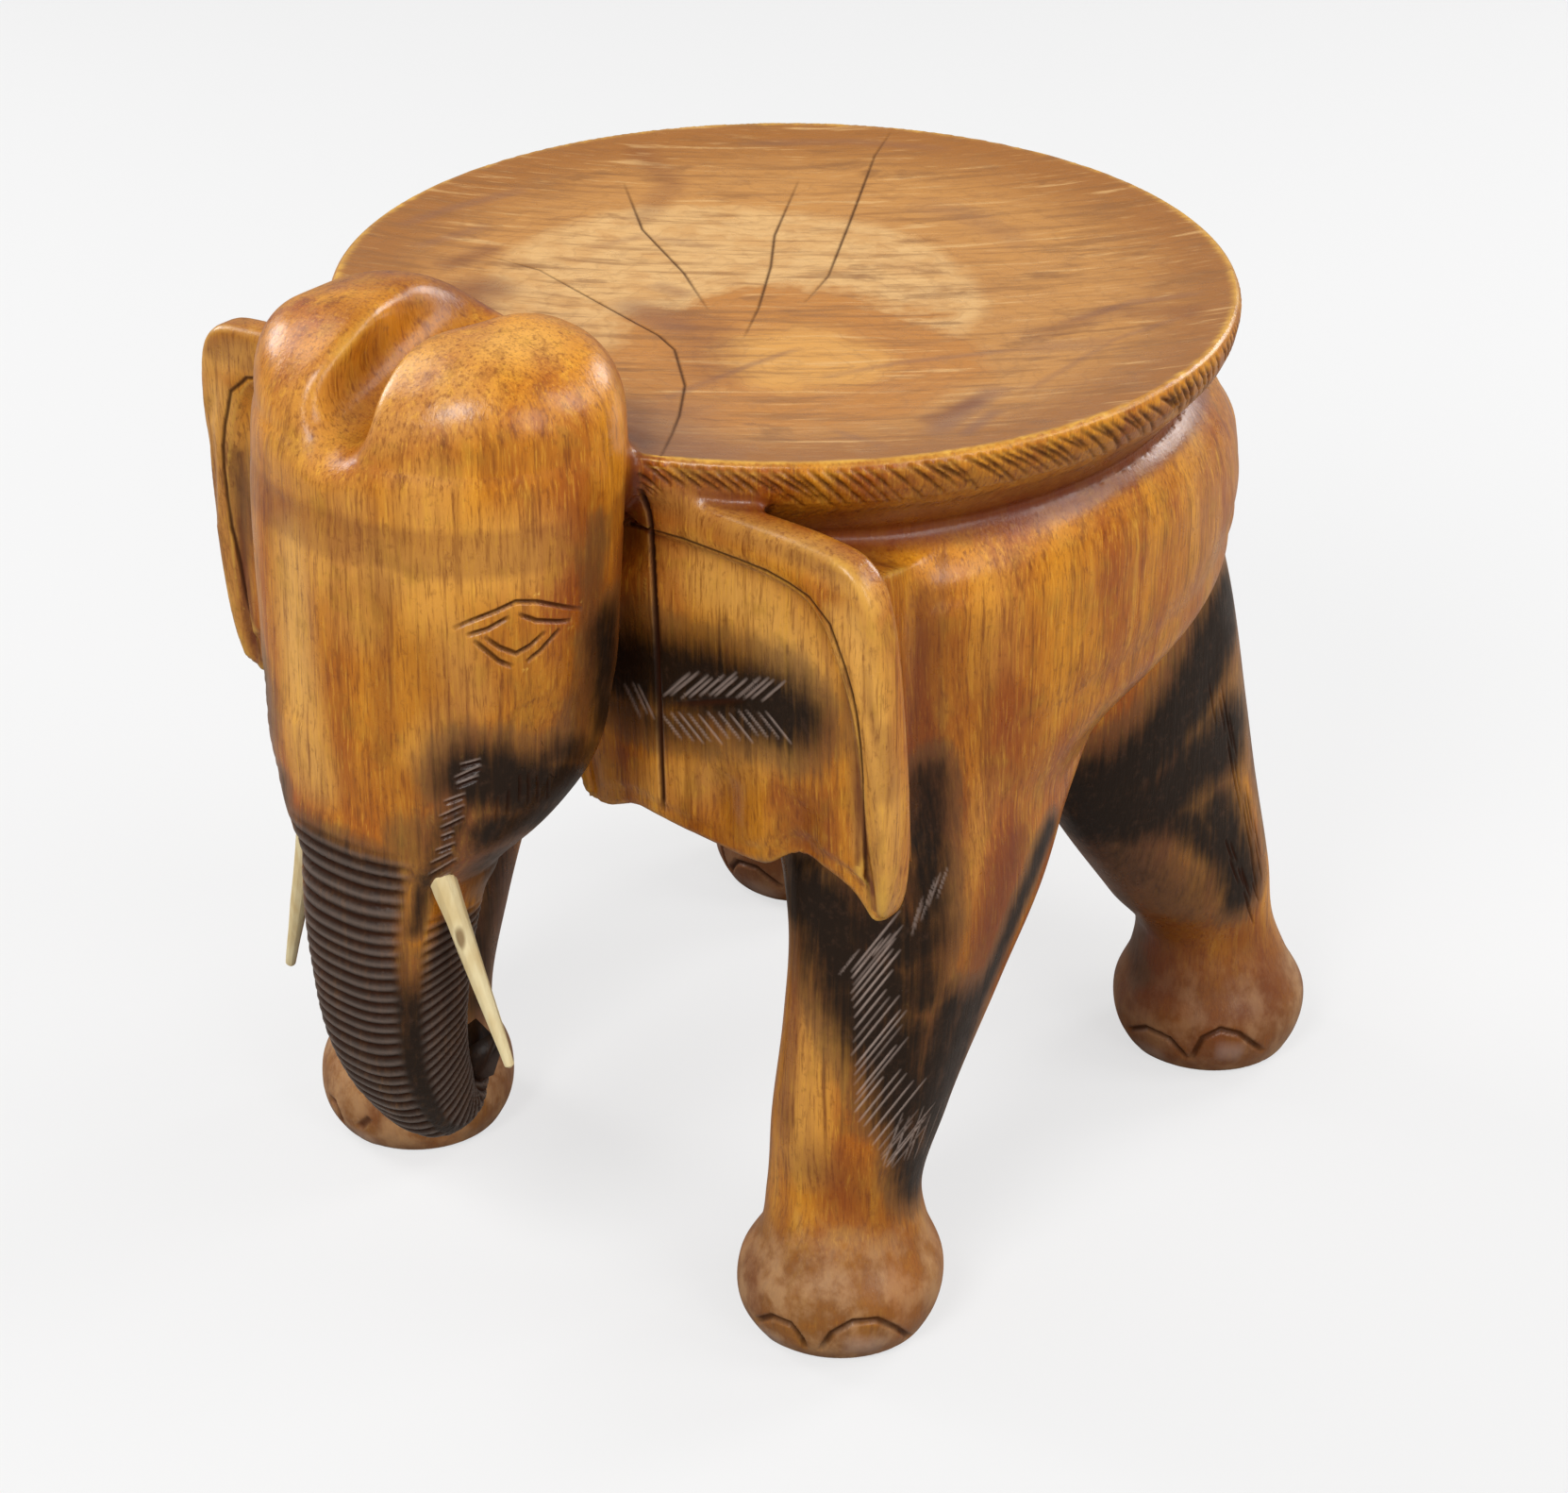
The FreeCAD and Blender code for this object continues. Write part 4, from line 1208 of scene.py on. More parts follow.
# Reddish-brown stain, partly painted shade in the creases by the head and ear, on the far dome's back facet,
# behind the trunk and on the hind legs.
RUSSET_AND_SHADE_LINES = (
    (((668, 520), (655, 600), (648, 700)), 18.0, 0.9),
    (((740, 500), (800, 525), (860, 552)), 10.0, 0.5),
    (((1000, 590), (996, 700), (1000, 880)), 4.0, 0.7),
    (((980, 640), (975, 760), (985, 860)), 16.0, 0.7),
    (((1010, 700), (1060, 760), (1080, 800)), 34.0, 0.35),
    (((620, 560), (620, 700), (615, 790)), 22.0, 0.55),
    (((400, 620), (404, 720), (408, 800)), 14.0, 0.45),
    (((470, 770), (520, 730)), 26.0, 0.35),
    (((440, 830), (480, 790)), 22.0, 0.5),
    (((530, 900), (545, 960), (535, 1030)), 30.0, 0.95),
    (((870, 1240), (940, 1280), (975, 1250)), 26.0, 0.6),
    (((1010, 1080), (1000, 1180)), 20.0, 0.8),
    (((1060, 930), (1040, 1020)), 24.0, 0.7),
    (((1200, 900), (1230, 980), (1225, 1040)), 44.0, 0.98),
    (((1290, 980), (1340, 1010), (1350, 1040)), 30.0, 0.8),
    (((1210, 1060), (1280, 1080), (1350, 1070)), 20.0, 0.6),
    (((520, 305), (470, 315)), 22.0, 0.8),
    (((655, 400), (668, 440), (672, 480)), 14.0, 0.5),
    (((700, 330), (740, 345), (760, 395)), 26.0, 0.35),
    (((985, 445), (1030, 425)), 9.0, 0.6),
    (((1100, 355), (1180, 330), (1260, 330)), 12.0, 0.4),
    (((770, 815), (768, 880)), 26.0, 0.5),
    (((850, 850), (850, 920)), 24.0, 0.5),
    (((895, 720), (908, 800), (915, 900)), 7.0, 0.7),
    (((936, 780), (942, 840)), 9.0, 0.5),
    (((256, 480), (256, 560), (270, 680)), 3.0, 0.9),
    (((520, 700), (560, 750), (600, 735)), 40.0, 0.35),
    (((640, 600), (630, 660), (600, 700)), 26.0, 0.35),
    (((1075, 900), (1040, 1010), (1005, 1180)), 26.0, 0.9),
    (((455, 700), (480, 770), (470, 800)), 26.0, 0.45),
    (((600, 610), (610, 700), (600, 780)), 22.0, 0.35),
    (((1160, 890), (1190, 960)), 40.0, 0.98),
    (((1235, 930), (1260, 1010)), 30.0, 0.9),
    (((1010, 830), (1020, 900), (1010, 1000)), 16.0, 0.55),
    (((845, 990), (838, 1080), (830, 1200)), 10.0, 0.6),
    (((795, 1330), (800, 1380)), 10.0, 0.5),
    (((395, 290), (440, 305), (480, 330)), 26.0, 0.5),
    (((372, 330), (398, 370), (385, 430)), 20.0, 0.4),
    (((1180, 960), (1230, 1000), (1300, 1030)), 44.0, 0.7),
    (((1225, 1110), (1290, 1110)), 50.0, 0.6),
    (((640, 560), (632, 640), (610, 740)), 20.0, 0.6),
    (((560, 900), (520, 1000)), 40.0, 0.9),
)


def fan(start, end, count, run, jitter, rng):
    """Short parallel lines whose starts are spread between two places, all drawn over the photograph."""
    start, end, run = (np.asarray(item, float) for item in (start, end, run))
    lines = []
    for t in np.linspace(0.0, 1.0, count):
        first = start + (end - start) * t + rng.normal(0.0, jitter, 2)
        lines.append((first, first + run * rng.uniform(0.8, 1.1)))
    return lines


def rim_strokes(forms, rng):
    """Slanted gouge cuts round the band of the seat, a painted highlight in the rubbed-edge colour beside
    some of them, and finer scratches in the undercut below.
    """
    top = forms.size["seat_height"]
    edge = forms.seat_radius
    band = forms.size["rim_band"]
    strokes = []

    def on_band(angle, up):
        share = (top - up) / band
        radius = edge + 1.0 - 6.0 * share ** 2
        return (radius * math.cos(angle), radius * math.sin(angle), up)

    angle = 0.0
    group = 0.0
    while angle < 2 * math.pi:
        if rng.random() < 0.16:
            group = rng.uniform(-4.0, 4.0)
        lean = (15.0 - 6.0 * math.sin(angle) + group + rng.uniform(-1.2, 1.2)) / edge
        high = top - rng.uniform(1.6, 2.8)
        low = top - band * rng.uniform(0.72, 0.98)
        steps = np.linspace(0.0, 1.0, 6)
        path = [on_band(angle + lean * t * (1.25 - 0.25 * t), high + (low - high) * t) for t in steps]
        strokes.append(Stroke(path, rng.uniform(2.0, 2.7), rng.uniform(1.1, 1.7), 0.35, 0.8, cut=0.95))
        # Beside some cuts, a slightly raised strip in the rubbed-edge colour: painted highlight on their lit
        # side.
        if rng.random() < 0.5:
            worn_and_highlight_side = [on_band(angle - 1.6 / edge + lean * t, high + (low - high) * t) for t in steps]
            strokes.append(Stroke(worn_and_highlight_side, 1.4, -0.2, 0.3, 1.0, edge=0.6))
        angle += (rng.uniform(4.4, 6.0) + 3.0 * (rng.random() < 0.1)) / edge
    angle = 0.0
    while angle < 2 * math.pi:
        lean = -rng.uniform(20.0, 30.0) / edge
        path = []
        first = rng.uniform(0.02, 0.25)
        for t in np.linspace(0.0, 1.0, 6):
            share = first + (0.84 - first) * t
            radius = edge - 5.0 - (forms.size["rim_cove"] - 3.5) * share
            path.append((radius * math.cos(angle + lean * t), radius * math.sin(angle + lean * t),
                         top - band - 25.0 * share))
        strokes.append(Stroke(path, rng.uniform(1.8, 2.4), rng.uniform(0.4, 0.7), 0.12, 1.0, cut=0.45))
        angle += rng.uniform(2.8, 4.0) / edge
    return strokes


def detail_strokes(forms, photo, rng):
    """Every line that is cut into the carving."""
    strokes = []

    def both(pixels, *args, **kinds):
        path = photo.trace(pixels)
        if len(path) > 1:
            stroke = Stroke(path, *args, **kinds)
            strokes.extend([stroke, stroke.mirrored()])

    def left(pixels, *args, **kinds):
        path = photo.trace(pixels)
        if len(path) > 1:
            strokes.append(Stroke(path, *args, **kinds))

    for line in EYE_LINES:
        both(line, 2.4, 1.25, 0.2, cut=0.85)
    # The cheek crease, the ear's fold and its scallops are cut and get reddish-brown painted shade.
    both(CHEEK_CREASE, 7.0, 0.9, 0.4, 1.5, red=0.5)
    groove = Stroke(photo.trace(EAR_GROOVE), 2.4, 0.5, 0.1, cut=0.9)
    far_groove = groove.mirrored()
    far_groove.path[:, 2] = forms.far_ear_height(far_groove.path[:, 2], FAR_EAR_LIFT)
    strokes.extend([groove, far_groove])
    both(EAR_FOLD, 6.0, 1.2, 0.4, 1.5, red=0.6)
    for line in EAR_SCALLOPS:
        both(line, 26.0, 1.8, 0.4, 1.2, red=0.35)
    left(EAR_CHECK, 2.8, 1.3, 0.04, 0.5, cut=1.0)
    left([(x - 3.6, y) for x, y in EAR_CHECK], 1.2, 0.1, 0.05, gold=0.8)
    for line in SEAT_CHECKS:
        left(line, 1.7, 0.45, 0.3, cut=0.85)
    for line in LIP_CUTS:
        both(line, 2.4, 1.2, 0.3, cut=0.6)
        both([(x, y - 4) for x, y in line], 1.5, -0.3, 0.3, pale=0.35)
    for line in JAW_CUTS:
        both(line, 1.8, 0.6, 0.3, cut=0.5)
    for line in LEFT_FRONT_NAILS:
        left(line, 3.4, 1.9, 0.12, cut=0.8)
    for line in LEFT_HIND_NAILS:
        both(line, 3.4, 1.9, 0.12, cut=0.8)
    # The right front nails lie in reddish-brown painted shade.
    for line in RIGHT_FRONT_NAILS:
        left(line, 4.5, 1.8, 0.2, cut=0.6, red=0.9)
    both(((708, 747), (740, 745), (790, 742)), 3.4, 0.8, 0.4, cut=0.9)
    for line in fan((702, 738), (808, 742), 12, (29, -25), 1.5, rng):
        both(line, 1.5, 0.5, 0.25, pale=0.42)
    for line in fan((700, 754), (812, 752), 12, (27, 34), 1.5, rng):
        both(line, 1.5, 0.5, 0.25, pale=0.42)
    for line in fan((662, 724), (676, 722), 3, (17, 36), 1.5, rng):
        both(line, 1.5, 0.5, 0.25, pale=0.4)
    starts = np.asarray(LEG_SCRATCH_START, float)
    runs = np.linspace(0, len(starts) - 1, 26)
    for t in runs:
        low = starts[int(t)]
        high = starts[min(int(t) + 1, len(starts) - 1)]
        first = low + (high - low) * (t - int(t)) + rng.normal(0.0, 1.4, 2)
        turn = rng.uniform(0.75, 1.05) * (1.0 - 0.35 * (t > 18))
        last = first + np.asarray(LEG_SCRATCH_RUN) * turn * rng.uniform(0.7, 1.25)
        both((first, last), 1.3, 0.45, 0.2, pale=rng.uniform(0.25, 0.6))
    for line in fan((966, 990), (992, 955), 6, (14, -40), 2.0, rng):
        both(line, 1.2, 0.4, 0.3, pale=0.4)
    for line in fan((938, 1238), (986, 1222), 7, (20, -54), 2.0, rng):
        both(line, 1.2, 0.4, 0.3, pale=0.4)
    for line in fan((893, 1040), (935, 1005), 5, (24, -30), 2.0, rng):
        both(line, 1.2, 0.4, 0.3, pale=0.35)
    for line in NAIL_FACES:
        both(line, 15.0, -0.4, 0.3, 1.4, pale=0.28)
    for line in fan((1286, 720), (1330, 900), 16, (8, 46), 5.0, rng):
        both(line, 1.5, 0.4, 0.3, cut=0.5)
    for line in fan((1300, 890), (1325, 950), 9, (9, 26), 4.0, rng):
        both(line, 1.6, 0.5, 0.3, cut=0.7)
    return strokes + rim_strokes(forms, rng)


def trunk_ridges(surface, forms):
    """Cuts the ridges across the front of the trunk and slanted ones down its sides, and scorches it,
    sparing a lighter strip on its corners that is partly painted highlight.
    """
    pitch = forms.size["ridge_pitch"]
    points = surface.points
    at = np.flatnonzero((points[:, 1] < -185) & (points[:, 2] < 275) & (np.abs(points[:, 0]) < 48))
    place, ahead, onward = forms.trunk_place(points[at])
    y, z, half, deep, full = forms.trunk_run.values.T
    run = forms.trunk_run.keys[place] + onward
    across = np.abs(points[at, 0])
    turn = np.degrees(np.arctan2(across / half[place], ahead / deep[place]))
    first = 52.0
    low_run = smooth_step(run, first - 3.0, first + 8.0)
    front = smooth_step(-turn, -50.0, -40.0) * low_run
    side = smooth_step(turn, 60.0, 70.0) * smooth_step(-turn, -150.0, -125.0)
    side = side * smooth_step(run, first + 18.0, first + 30.0)
    wobble = 0.35 * np.sin(run * 0.21) + 0.25 * np.sin(run * 0.093 + 1.0)
    front_run = run + 2.4 * (across / half[place]) ** 2 + wobble
    side_run = run * 1.05 + (turn - 90.0) * 0.10 - wobble
    for weight, along, depth in ((front, front_run, 0.95), (side, side_run, 0.75)):
        phase = (along / pitch) % 1.0
        valley = np.exp(-(np.minimum(phase, 1.0 - phase) * pitch / 0.85) ** 2)
        crest = np.exp(-((phase - 0.5) * pitch / 1.0) ** 2)
        surface.cut[at] += weight * depth * valley - weight * 0.25 * crest
        surface.marks["cut"][at] = np.maximum(surface.marks["cut"][at], weight * valley * 0.75)
        surface.marks["pale"][at] = np.maximum(surface.marks["pale"][at], weight * crest * 0.20)
    # A strip along each corner is spared from the burn; its lighter wood is partly a painted highlight.
    honey = np.exp(-((turn - 58.0) / 13.0) ** 2) * smooth_step(-run, -(first + 62.0), -(first + 22.0))
    below = smooth_step(run, first - 10.0, first + 8.0)
    beside = smooth_step(run, first + 18.0, first + 30.0)
    burnt = np.where(turn < 55.0, below, beside) * (1.0 - honey) * 0.9
    surface.marks["scorch_and_shade"][at] = np.maximum(surface.marks["scorch_and_shade"][at], burnt)


def spare_creases(surface, piece):
    """Evens the normals that cuts follow, and holds cuts back where the surface folds sharply."""
    first, second = edge_ends(piece)
    size = len(surface.points)
    count = np.maximum(np.bincount(first, minlength=size) + np.bincount(second, minlength=size), 1)
    mean = surface.normals.copy()
    for _ in range(3):
        mean = 0.4 * mean + 0.6 * np.column_stack(
            [(np.bincount(first, weights=column[second], minlength=size)
              + np.bincount(second, weights=column[first], minlength=size)) / count for column in mean.T])
    length = np.linalg.norm(mean, axis=1)
    surface.open = smooth_step(length, 0.93, 0.985)
    surface.normals = mean / np.maximum(length, 1e-6)[:, None]


def shade_forms(surface, piece, forms):
    """Marks the feet, the seat's top, the sharp edges and the hollows by their place and shape, with painted
    shade in the cove under the rim's band and painted highlight along the sharp edges.
    """
    x, y, z = surface.points.T
    top = forms.size["seat_height"]
    radius = np.hypot(x, y)
    surface.marks["tan"][:] = 0.85 * smooth_step(-z, -75.0, -40.0)
    dish = smooth_step(z, top - forms.size["dish_depth"] - 4.0, top - forms.size["dish_depth"] - 1.0)
    inner = smooth_step(-radius, -forms.seat_radius - 1.0, -forms.seat_radius + 3.0)
    surface.marks["seat_top"][:] = dish * inner * smooth_step(surface.normals[:, 2], 0.5, 0.9) * (
        z < top + 1.5)
    under = smooth_step(-z, -top + forms.size["rim_band"] - 1.0, -top + forms.size["rim_band"] + 4.0)
    under = under * smooth_step(z, forms.barrel_top - 9.0, forms.barrel_top - 4.0)
    under = under * (radius < forms.seat_radius)
    band = smooth_step(-z, -top + 4.0, -top + 9.0) * smooth_step(z, top - forms.size["rim_band"] - 8.0,
                                                               top - forms.size["rim_band"] - 2.0)
    band = band * smooth_step(radius, forms.seat_radius - 9.0, forms.seat_radius - 6.0)
    # Painted shade in the cove under the rim's band, and a reddish-brown on the band itself.
    surface.marks["red"][:] = np.maximum(0.85 * under * (y > -160), 0.5 * band)
    first, second = edge_ends(piece)
    count = np.bincount(first, minlength=len(z)) + np.bincount(second, minlength=len(z))

    def spread(value):
        total = (np.bincount(first, weights=value[second], minlength=len(z))
                 + np.bincount(second, weights=value[first], minlength=len(z)))
        return total / np.maximum(count, 1)

    offset = np.column_stack([spread(surface.points[:, axis]) for axis in range(3)]) - surface.points
    length = np.linalg.norm(surface.points[first] - surface.points[second], axis=1)
    mean = (np.bincount(first, weights=length, minlength=len(z))
            + np.bincount(second, weights=length, minlength=len(z))) / np.maximum(count, 1)
    bend = -(offset * surface.normals).sum(axis=1) / np.maximum(mean, 1e-3) ** 2 * 4
    for _ in range(4):
        bend = 0.5 * bend + 0.5 * spread(bend)
    # Sharp convex edges: rubbed wood and painted highlight.
    surface.marks["edge"][:] = smooth_step(bend, 0.10, 0.42)
    for _ in range(14):
        bend = 0.4 * bend + 0.6 * spread(bend)
    surface.marks["hollow"][:] = smooth_step(-bend, 0.02, 0.16)


def under_strokes(piece, strokes, widest, reach_share=0.5):
    """The surface of a piece, and which of its points lie under the narrower strokes."""
    surface = Surface(log_points(piece), vertex_normals(piece))
    wanted = np.zeros(len(surface.points), bool)
    for stroke in strokes:
        if stroke.width <= widest and (stroke.depth or stroke.width < 3.0):
            wanted[surface.beside(stroke.path, stroke.width * reach_share + 1.2)[0]] = True
    return surface, wanted


def divide_faces(piece, wanted):
    """Divides every face with a wanted point into four."""
    loops = np.empty(len(piece.data.loops), np.int32)
    piece.data.loops.foreach_get("vertex_index", loops)
    starts = np.empty(len(piece.data.polygons), np.int32)
    piece.data.polygons.foreach_get("loop_start", starts)
    chosen = np.add.reduceat(wanted[loops].astype(np.int32), starts) > 0
    use_only(piece)
    bpy.context.tool_settings.mesh_select_mode = (False, False, True)
    bpy.ops.object.mode_set(mode="EDIT")
    bpy.ops.mesh.select_all(action="DESELECT")
    bpy.ops.object.mode_set(mode="OBJECT")
    piece.data.polygons.foreach_set("select", chosen)
    bpy.ops.object.mode_set(mode="EDIT")
    bpy.ops.mesh.subdivide(number_cuts=1, ngon=True, quadcorner="INNERVERT")
    bpy.ops.object.mode_set(mode="OBJECT")


def keep_marks(piece, surface):
    for name, values in surface.marks.items():
        layer = piece.data.attributes.new(name, "FLOAT", "POINT")
        layer.data.foreach_set("value", np.clip(values, 0.0, 1.0).astype(np.float32))


def cut_apart(piece, place, way):
    """Saws a piece in two at a plane, closes both faces of the cut, and returns the far and near parts."""
    far = piece.copy()
    far.data = piece.data.copy()
    bpy.context.scene.collection.objects.link(far)
    for part, near in ((piece, True), (far, False)):
        use_only(part)
        bpy.ops.object.mode_set(mode="EDIT")
        bpy.ops.mesh.select_all(action="SELECT")
        bpy.ops.mesh.bisect(plane_co=Vector(place) * MM, plane_no=way, use_fill=True,
                            clear_outer=near, clear_inner=not near)
        bpy.ops.object.mode_set(mode="OBJECT")
    return far, piece


def part_regions(piece, forms):
    """Parts the carving into closed regions that keep its smooth shading over their borders."""
    normals = vertex_normals(piece)
    layer = piece.data.attributes.new("shape_normal", "FLOAT_VECTOR", "POINT")
    layer.data.foreach_set("vector", normals.astype(np.float32).ravel())
    top = forms.size["seat_height"]
    upward, leftward, backward = (0, 0, 1), (1, 0, 0), (0, 1, 0)
    seat_level = top - forms.size["dish_depth"] - SEAT_CUT_BELOW_DISH
    front_plane = (0, SEAT_AXIS_Y - EAR_CUT, 0)
    ear_x = EAR_ROOT_SHARE * forms.half_head
    upper, lower = cut_apart(piece, (0, 0, seat_level), upward)
    regions = {}
    regions["seat"], regions["crown"] = cut_apart(upper, (0, SEAT_AXIS_Y - CROWN_CUT, 0), backward)
    back, front = cut_apart(lower, front_plane, backward)
    regions["left_ear"], front = cut_apart(front, (ear_x, 0, 0), leftward)
    front, regions["right_ear"] = cut_apart(front, (-ear_x, 0, 0), leftward)
    regions["face"], regions["trunk"] = cut_apart(front, (0, 0, TRUNK_CUT_SHARE * top), upward)
    regions["seat_rim"], barrel = cut_apart(back, (0, 0, forms.barrel_top - RIM_CUT_BELOW_TOP), upward)
    barrel, legs = cut_apart(barrel, (0, 0, LEG_CUT_SHARE * top), upward)
    middle = (0, SEAT_AXIS_Y + LEG_MIDDLE, 0)
    regions["rear_flank"], regions["front_flank"] = cut_apart(barrel, middle, backward)
    hind, fore = cut_apart(legs, middle, backward)
    for pair, name in ((fore, "front"), (hind, "hind")):
        regions["left_" + name + "_leg"], regions["right_" + name + "_leg"] = cut_apart(
            pair, (0, 0, 0), leftward)
    for name, part in regions.items():
        part.name = name
        part.data.name = name
        keep_shading(part)
    return regions


def keep_shading(part):
    """Gives a region the normals of the whole carving, so that no border shows."""
    normals = np.empty(len(part.data.vertices) * 3, np.float32)
    part.data.attributes["shape_normal"].data.foreach_get("vector", normals)
    use_only(part)
    bpy.ops.object.shade_smooth()
    part.data.normals_split_custom_set_from_vertices(normals.reshape(-1, 3))
    part.data.attributes.remove(part.data.attributes["shape_normal"])


# Materials

class Shader:
    """Adds and links the nodes of one material."""

    def __init__(self, name):
        self.material = bpy.data.materials.new(name)
        self.material.use_nodes = True
        self.nodes = self.material.node_tree.nodes
        self.links = self.material.node_tree.links
        self.shader = self.nodes["Principled BSDF"]

    def node(self, kind, **settings):
        node = self.nodes.new(kind)
        for name, value in settings.items():
            setattr(node, name, value)
        return node

    def feed(self, socket, value):
        if isinstance(value, bpy.types.NodeSocket):
            self.links.new(value, socket)
        elif hasattr(value, "__len__") and len(value) == 3 and socket.type == "RGBA":
            socket.default_value = (*value, 1.0)
        else:
            socket.default_value = value

    def coordinates(self, scale=(1, 1, 1), place=(0, 0, 0), turn=(0, 0, 0)):
        vector = self.node("ShaderNodeTexCoord").outputs["Object"]
        if any(turn):
            turned = self.node("ShaderNodeMapping")
            self.feed(turned.inputs["Vector"], vector)
            self.feed(turned.inputs["Rotation"], turn)
            vector = turned.outputs["Vector"]
        mapping = self.node("ShaderNodeMapping")
        self.feed(mapping.inputs["Vector"], vector)
        self.feed(mapping.inputs["Location"], place)
        self.feed(mapping.inputs["Scale"], scale)
        return mapping.outputs["Vector"]

    def noise(self, vector, scale=1.0, detail=3.0, rough=0.5, distortion=0.0):
        node = self.node("ShaderNodeTexNoise")
        self.feed(node.inputs["Vector"], vector)
        for name, value in (("Scale", scale), ("Detail", detail), ("Roughness", rough),
                            ("Distortion", distortion)):
            self.feed(node.inputs[name], value)
        return node.outputs["Fac"]

    def math(self, operation, *values, clamp=False):
        node = self.node("ShaderNodeMath", operation=operation, use_clamp=clamp)
        for socket, value in zip(node.inputs, values):
            self.feed(socket, value)
        return node.outputs[0]

    def span(self, value, low, high, to_low=0.0, to_high=1.0):
        node = self.node("ShaderNodeMapRange", interpolation_type="SMOOTHSTEP")
        for socket, number in zip(node.inputs, (value, low, high, to_low, to_high)):
            self.feed(socket, number)
        return node.outputs[0]

    def mix(self, share, a, b, blend="MIX"):
        node = self.node("ShaderNodeMix", data_type="RGBA", blend_type=blend)
        self.feed(node.inputs["Factor"], share)
        self.feed(node.inputs[6], a)
        self.feed(node.inputs[7], b)
        return node.outputs[2]

    def tint(self, colour, value, low, high, share, other):
        """Mixes another colour in by a share, where a value lies between two levels."""
        return self.mix(self.math("MULTIPLY", self.span(value, low, high), share), colour, other)

    def mark(self, name):
        return self.node("ShaderNodeAttribute", attribute_name=name).outputs["Fac"]

    def bump(self, height, distance, strength, normal=None):
        node = self.node("ShaderNodeBump")
        self.feed(node.inputs["Height"], height)
        self.feed(node.inputs["Distance"], distance)
        self.feed(node.inputs["Strength"], strength)
        if normal is not None:
            self.feed(node.inputs["Normal"], normal)
        return node.outputs["Normal"]


